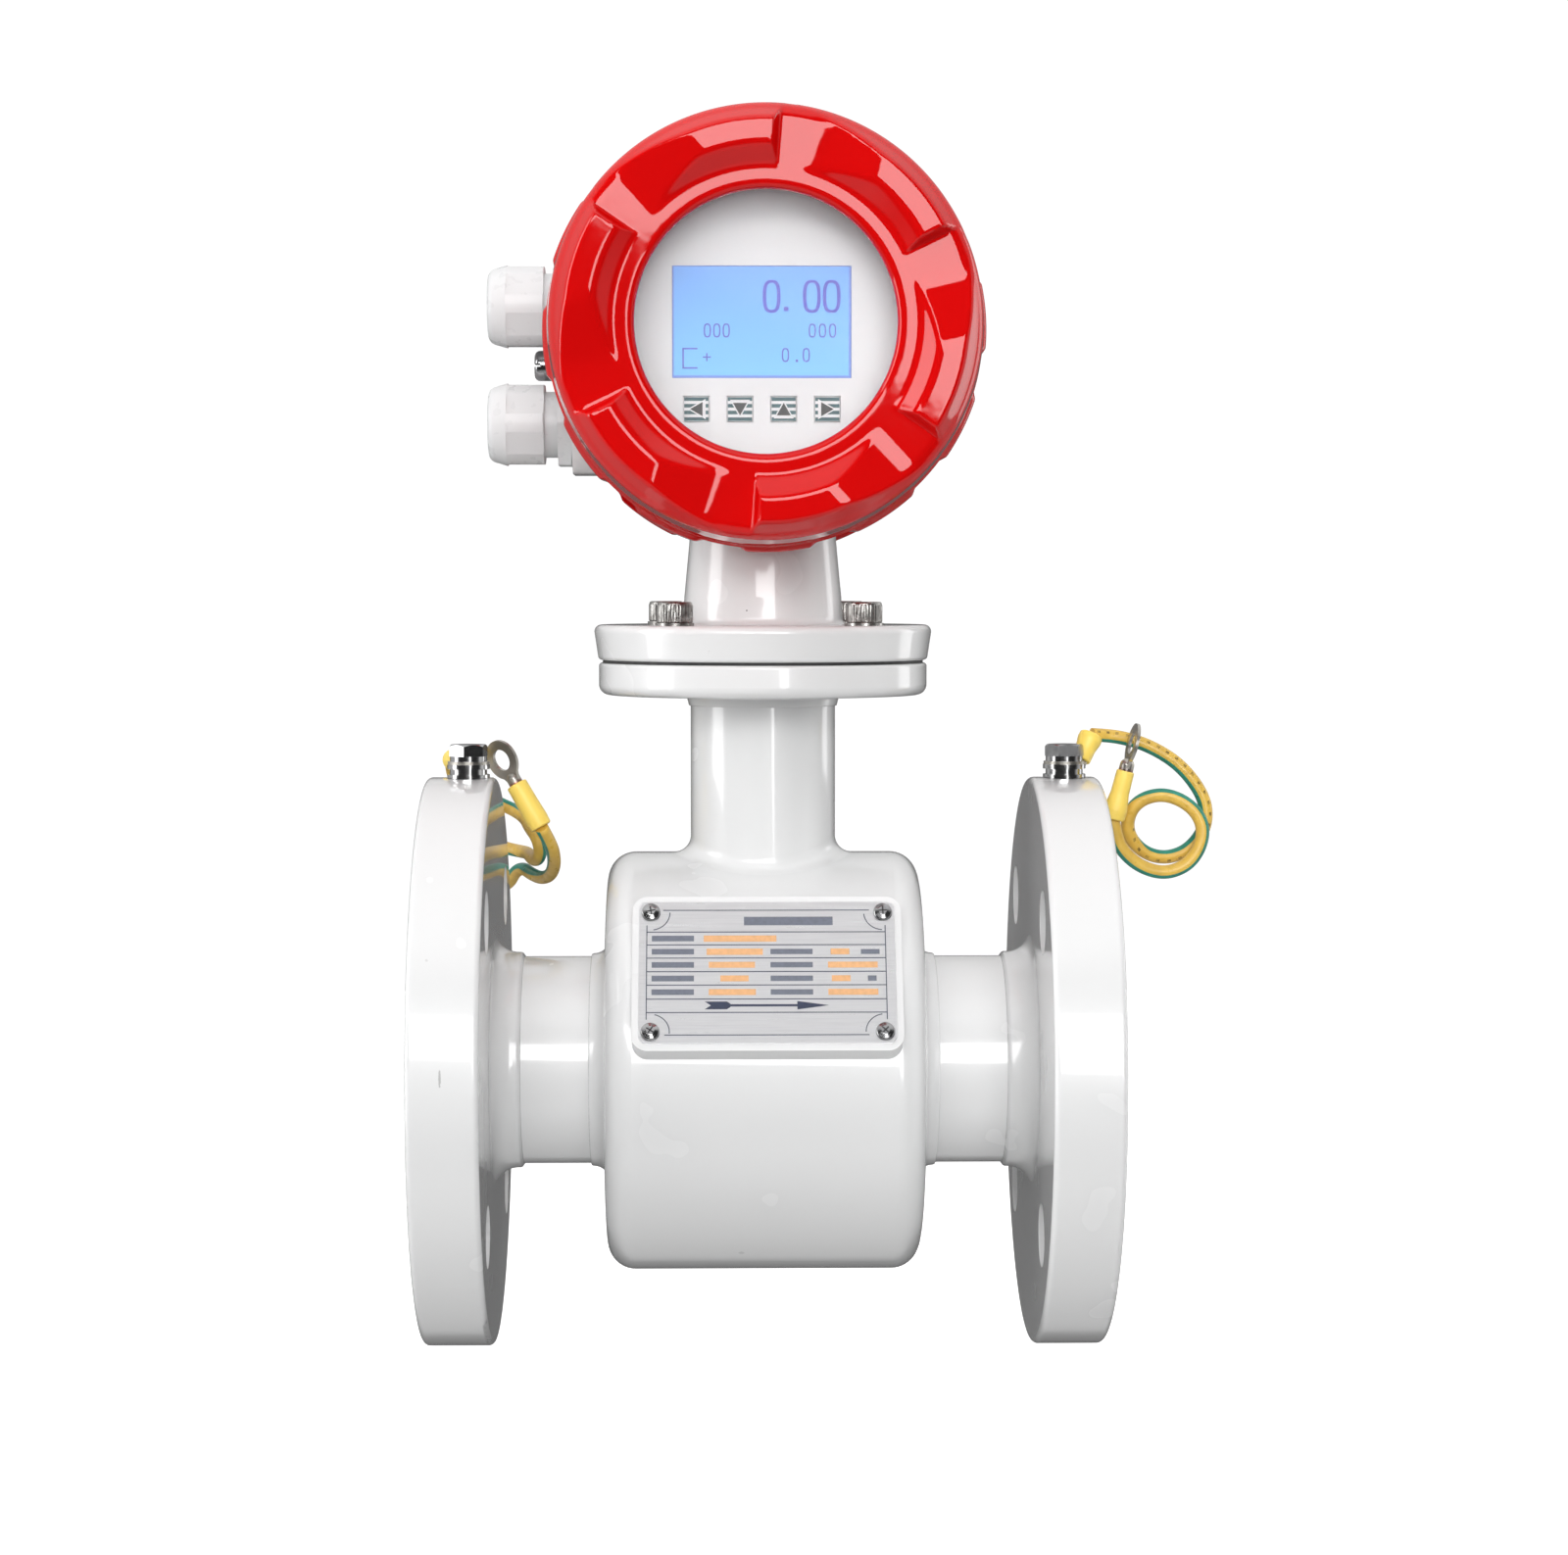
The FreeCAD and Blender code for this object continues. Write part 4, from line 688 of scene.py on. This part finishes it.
def zero_strokes(cx, cy, w, h, t, th):
    """A numeral nought: an oval ring split into quads, with thicker sides than ends."""
    out = []
    n = 28
    for i in range(n):
        q = []
        for k in (i, i + 1):
            a = 2 * math.pi * k / n
            ca, sa = math.cos(a), math.sin(a)
            sx = math.copysign(abs(ca) ** 0.72, ca)
            sz = math.copysign(abs(sa) ** 0.72, sa)
            q.append(((cx + sx * w / 2, cy + sz * h / 2), (cx + sx * (w / 2 - t), cy + sz * (h / 2 - th))))
        out.append([q[0][0], q[1][0], q[1][1], q[0][1]])
    return out


FR = (1, 0, 0), (0, 0, 1), (0, -1, 0)
scr = []
for cx in (1.80, 12.87, 18.33):
    scr += zero_strokes(cx, 217.75, 4.95, 9.1, 1.0, 0.85)
scr.append(rect(5.15, 6.45, 213.7, 214.9))
prisms("display_digits", scr, M["digit"], "meter", (0, 0, 0), *FR, 49.6, 49.64, "display_blue")
scr = []
for cx, cz in ((5.6, 201.7), (11.35, 201.7), (-15.9, 208.4), (-13.3, 208.4), (-10.7, 208.4), (13.0, 208.4), (15.8, 208.4), (18.6, 208.4)):
    scr += zero_strokes(cx, cz, 2.05, 3.9, 0.42, 0.42)
scr.append(rect(8.4, 9.1, 199.75, 200.45))
for x0, x1, z0, z1 in ((-22.8, -18.6, 203.2, 203.65), (-22.8, -18.6, 197.9, 198.35), (-22.8, -22.35, 197.9, 203.65), (-17.2, -14.9, 200.9, 201.3), (-16.25, -15.85, 200.0, 202.2)):
    scr.append(rect(x0, x1, z0, z1))
prisms("display_small_digits", scr, M["digit2"], "meter", (0, 0, 0), *FR, 49.6, 49.635, "display_blue")

KEY_X = {"key_left": -18.95, "key_down": -6.92, "key_up": 5.12, "key_right": 17.15}
TRI = {"key_left": 180, "key_down": 270, "key_up": 90, "key_right": 0}
for nm, kx in KEY_X.items():
    kz = 186.8
    bars = [rect(-3.33, 3.33, z - 0.5, z + 0.5) for z in (-2.75, -0.92, 0.92, 2.75)]
    prisms(nm + "_stripes", bars, M["teal"], nm, (kx, 0, kz), *FR, 50.28, 50.325, "key_teal")
    a = math.radians(TRI[nm])

    def turned(k, a=a):
        pts = [(1.72 * k, 0.0), (-1.72 * k - 0.25 * (k - 1), 1.95 * k), (-1.72 * k - 0.25 * (k - 1), -1.95 * k)]
        return [(x * math.cos(a) - y * math.sin(a), x * math.sin(a) + y * math.cos(a)) for x, y in pts]
    prisms(nm + "_halo", [turned(1.42)], M["panel"], nm, (kx, 0, kz), *FR, 50.28, 50.345, "panel_white")
    prisms(nm + "_arrow", [turned(1.0)], M["tri"], nm, (kx, 0, kz), *FR, 50.28, 50.37, "key_teal")

# nameplate: ruled frame with round notches at the screws, plain bars for print, and a flow arrow
TH = math.radians(30.0)
PN = (0.0, -math.cos(TH), math.sin(TH))
PU = (0.0, math.sin(TH), math.cos(TH))
PO = (0.5, PN[1] * 62.4, PN[2] * 62.4)
PL = (1, 0, 0), PU, PN
LW = 0.13
lines = []
U0, U1, V0, V1, NR = -33.4, 32.9, -18.9, 18.7, 5.3
su, sv = 32.3, 18.0
for vv in (12.05, 8.15, 4.15, 0.05, -4.0, -8.2, -12.2):
    lines.append(rect(U0, U1, vv - LW, vv + LW))
lines.append(rect(U0 + 4.5, U1 - 4.4, V1 - LW, V1 + LW))
lines.append(rect(U0 + 5.0, U1 - 5.0, V0 - LW, V0 + LW))
lines.append(rect(U0 - LW, U0 + LW, V0 + 4.6, V1 - 4.6))
lines.append(rect(U1 - LW, U1 + LW, V0 + 4.6, V1 - 4.6))
for sx in (-1, 1):
    for sz in (-1, 1):
        cx, cz = sx * su, sz * sv
        a0 = {(-1, 1): -82, (1, 1): -175, (-1, -1): -5, (1, -1): 98}[(sx, sz)]
        for i in range(12):
            q = []
            for k in (i, i + 1):
                a = math.radians(a0 + 82.0 * k / 12)
                q.append((cx + (NR - LW) * math.cos(a), cz + (NR - LW) * math.sin(a)))
                q.append((cx + (NR + LW) * math.cos(a), cz + (NR + LW) * math.sin(a)))
            lines.append([q[0], q[1], q[3], q[2]])
va = -10.1
lines.append([(-17.3, va + 1.15), (-11.2, va + 1.15), (-10.2, va + 0.45), (-10.2, va - 0.45), (-11.2, va - 1.15), (-17.3, va - 1.15), (-15.6, va)])
lines.append(rect(-10.25, 8.3, va - 0.33, va + 0.33))
lines.append([(8.2, va + 1.25), (16.9, va), (8.2, va - 1.25)])
prisms("nameplate_frame", lines, M["ink"], "meter", PO, *PL, 0.8, 0.83, "nameplate_steel")
title = [rect(-6.5 + 5.4 * i, -2.6 + 5.4 * i, 13.5, 17.1) for i in range(0)]
bars, obars = [rect(-6.4, 18.3, 14.1, 16.7)], []
for vv in (10.1, 6.1, 2.1, -2.0, -6.1):
    bars.append(rect(-32.0, -20.3, vv - 0.85, vv + 0.85))
for vv in (6.1, 2.1, -2.0, -6.1):
    bars.append(rect(0.9, 12.6, vv - 0.8, vv + 0.8))
bars.append(rect(26.0, 31.2, 5.3, 6.8))
bars.append(rect(27.8, 30.2, -2.8, -1.2))
obars += [rect(-17.6, 2.6, 9.1, 11.0), rect(-16.8, -1.2, 5.1, 7.0), rect(-16.2, -3.4, 1.2, 3.0), rect(-13.0, -5.2, -2.9, -1.1), rect(-16.2, -3.2, -7.0, -5.2),
          rect(17.6, 22.8, 5.2, 7.0), rect(16.8, 30.6, 1.2, 3.0), rect(17.8, 23.0, -2.9, -1.1), rect(16.8, 30.6, -7.0, -5.2)]
prisms("nameplate_bars", bars, M["ink2"], "meter", PO, *PL, 0.8, 0.82, "nameplate_steel")
prisms("nameplate_orange_bars", obars, M["orange"], "meter", PO, *PL, 0.8, 0.82, "nameplate_steel")
# cross recesses of the nameplate screws: thin dark bars raised on the heads, painted shade standing in for the hollows
recess_shade_bars = []
for sx in (-1, 1):
    for sz in (-1, 1):
        a = 0.5 + 0.7 * sx + 0.4 * sz
        for k in (0, 1):
            b_ = a + k * math.pi / 2
            c_, s_ = math.cos(b_), math.sin(b_)
            recess_shade_bars.append([(sx * 32.3 + x * c_ - y * s_, sz * 18.0 + x * s_ + y * c_) for x, y in rect(-1.25, 1.25, -0.2, 0.2)])
prisms("nameplate_screw_recess_shade", recess_shade_bars, M["dark"], "meter", PO, *PL, 2.18, 2.32, "bright_steel")

# knurl of the four flange screws
kv, kf = [], []
for k in range(4):
    a = math.radians(48.4 + 90 * k)
    cx, cy = 38.0 * math.cos(a), 38.0 * math.sin(a)
    n = 144
    rows = [(4.9, 0.75), (5.0, 0.85), (5.02, 1.1), (5.02, 5.6), (5.0, 5.95), (4.85, 6.1)]
    base_i = len(kv)
    for r, h in rows:
        for i in range(n):
            t = 2 * math.pi * i / n
            rr = r + (0.16 * (1 if (i % 4) < 2 else 0) if 1.0 < h < 5.7 else 0.0)
            kv.append((cx + rr * math.cos(t), cy + rr * math.sin(t), 127.0 + h))
    kf += grid_faces(n, len(rows), True, base_i)
    ib = len(kv)
    for r, h in [(4.7, 6.1), (4.7, 0.75)]:
        for i in range(n):
            t = 2 * math.pi * i / n
            kv.append((cx + r * math.cos(t), cy + r * math.sin(t), 127.0 + h))
    last = base_i + (len(rows) - 1) * n
    for i in range(n):
        j = (i + 1) % n
        kf.append((last + i, last + j, ib + j, ib + i))
        kf.append((ib + i, ib + j, ib + n + j, ib + n + i))
        kf.append((ib + n + i, ib + n + j, base_i + j, base_i + i))
kn = make("flange_screw_knurls", kv, kf, M["screw"], None, True, 30)
bm = bmesh.new()
bm.from_mesh(kn.data)
bmesh.ops.recalc_face_normals(bm, faces=bm.faces)
bm.to_mesh(kn.data)
bm.free()
kn.data.set_sharp_from_angle(angle=math.radians(30))
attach(kn, "meter")

# ------------------------------------------------------------------ camera, floor, lights
cam = bpy.data.cameras.new("cam")
cam.sensor_width = 36.0
cam.lens = 80.82
cam.clip_start = 0.05
cam.clip_end = 80
co = bpy.data.objects.new("cam", cam)
co.location = (-0.0135, -1.0240, 0.1379)
co.rotation_euler = (math.radians(86.9), 0, math.radians(-1.1))
bpy.context.scene.collection.objects.link(co)
bpy.context.scene.camera = co

fl = bpy.data.meshes.new("floor")
fl.from_pydata([(-0.9, -0.7, -0.0832), (0.9, -0.7, -0.0832), (0.9, 0.9, -0.0832), (-0.9, 0.9, -0.0832)], [], [(0, 1, 2, 3)])
flo = bpy.data.objects.new("floor", fl)
bpy.context.scene.collection.objects.link(flo)
# the floor shows as plain white under the meter, and its bounce is left to the world
flo.visible_diffuse = False
flo.visible_glossy = False
m, nt, b = new_mat("floor_white")
b.inputs["Base Color"].default_value = (0.38, 0.38, 0.38, 1)
b.inputs["Roughness"].default_value = 0.9
b.inputs["Specular IOR Level"].default_value = 0.0
b.inputs["Emission Color"].default_value = (1, 1, 1, 1)
b.inputs["Emission Strength"].default_value = 1.0
fl.materials.append(m)

# broad soft fill from the front, upper left, that only lights the paint and is not mirrored in it
sun = bpy.data.lights.new("front_fill", "SUN")
sun.energy = 1.60
sun.angle = math.radians(70.0)
suo = bpy.data.objects.new("front_fill", sun)
suo.rotation_euler = (math.radians(72.0), 0, math.radians(-5.0))
suo.visible_glossy = False
bpy.context.scene.collection.objects.link(suo)

# studio surroundings: white to the camera; to the object, a soft grey room with a front card whose lower edge runs
# diagonally, a tall window to the left, a strip to the right and a soft ceiling
w = bpy.data.worlds.new("w")
bpy.context.scene.world = w
w.use_nodes = True
nt = w.node_tree
for n_ in list(nt.nodes):
    nt.nodes.remove(n_)
outw = nt.nodes.new("ShaderNodeOutputWorld")
tc = nt.nodes.new("ShaderNodeTexCoord")
sp = nt.nodes.new("ShaderNodeSeparateXYZ")
nt.links.new(tc.outputs["Generated"], sp.inputs[0])


def mth(op, a, c=None, d=None):
    n_ = nt.nodes.new("ShaderNodeMath")
    n_.operation = op
    for i, v_ in enumerate((a, c, d)):
        if v_ is None:
            continue
        if isinstance(v_, (int, float)):
            n_.inputs[i].default_value = v_
        else:
            nt.links.new(v_, n_.inputs[i])
    return n_.outputs[0]


def step(x, a, soft):
    n_ = nt.nodes.new("ShaderNodeMapRange")
    n_.interpolation_type = "SMOOTHSTEP"
    n_.inputs["From Min"].default_value = a - soft
    n_.inputs["From Max"].default_value = a + soft
    nt.links.new(x, n_.inputs["Value"])
    return n_.outputs[0]


X, Yd, Z = sp.outputs["X"], sp.outputs["Y"], sp.outputs["Z"]
az = mth("MULTIPLY", mth("ARCTAN2", X, mth("MULTIPLY", Yd, -1.0)), 180.0 / math.pi)     # 0 in front, + to the right
hor = mth("SQRT", mth("MAXIMUM", mth("SUBTRACT", 1.0, mth("MULTIPLY", Z, Z)), 1e-6))
el = mth("MULTIPLY", mth("ARCTAN2", Z, hor), 180.0 / math.pi)
front = mth("MAXIMUM", mth("MULTIPLY", Yd, -1.0), 0.02)
tx, tz = mth("DIVIDE", X, front), mth("DIVIDE", Z, front)


def inside(x, a, b2, soft):
    return mth("MULTIPLY", step(x, a, soft), mth("SUBTRACT", 1.0, step(x, b2, soft)))


total = mth("MULTIPLY_ADD", step(el, 38.0, 30.0), AMB_TOP - AMB, AMB)
# dark room in front, round the card, and grey below the horizon
dim = mth("MULTIPLY", inside(az, -70.0, 72.0, 12.0), inside(el, -38.0, 46.0, 8.0))
total = mth("MULTIPLY", total, mth("MULTIPLY_ADD", dim, -0.955, 1.0))
total = mth("MULTIPLY", total, mth("MULTIPLY_ADD", step(el, -22.0, 20.0), 0.12, 0.88))
back = mth("MULTIPLY", step(mth("ABSOLUTE", az), 140.0, 14.0), inside(el, -45.0, 10.0, 6.0))
total = mth("MULTIPLY", total, mth("MULTIPLY_ADD", back, -0.8, 1.0))
diag = step(mth("ADD", tz, mth("MULTIPLY", tx, 0.578)), 0.086, 0.004)
card = mth("MULTIPLY", mth("MULTIPLY", diag, mth("SUBTRACT", 1.0, step(el, 24.0, 1.0))), inside(az, -40.0, 17.0, 0.8))
total = mth("MULTIPLY_ADD", card, CARD, total)
left = mth("MULTIPLY", inside(az, -88.0, -66.0, 0.8), inside(el, -14.0, 34.0, 0.8))
total = mth("MULTIPLY_ADD", left, LEFT, total)
right = mth("MULTIPLY", inside(az, 109.0, 124.0, 0.6), inside(el, -20.0, 25.0, 0.6))
total = mth("MULTIPLY_ADD", right, RIGHT, total)
lp = nt.nodes.new("ShaderNodeLightPath")
bg1 = nt.nodes.new("ShaderNodeBackground")
nt.links.new(total, bg1.inputs[1])
bg2 = nt.nodes.new("ShaderNodeBackground")
bg2.inputs[0].default_value = (1, 1, 1, 1)
bg2.inputs[1].default_value = 1.05
mixs = nt.nodes.new("ShaderNodeMixShader")
nt.links.new(lp.outputs["Is Camera Ray"], mixs.inputs[0])
nt.links.new(bg1.outputs[0], mixs.inputs[1])
nt.links.new(bg2.outputs[0], mixs.inputs[2])
nt.links.new(mixs.outputs[0], outw.inputs[0])

sc = bpy.context.scene
sc.view_settings.view_transform = "Standard"
sc.view_settings.look = "None"
sc.view_settings.exposure = 0.0
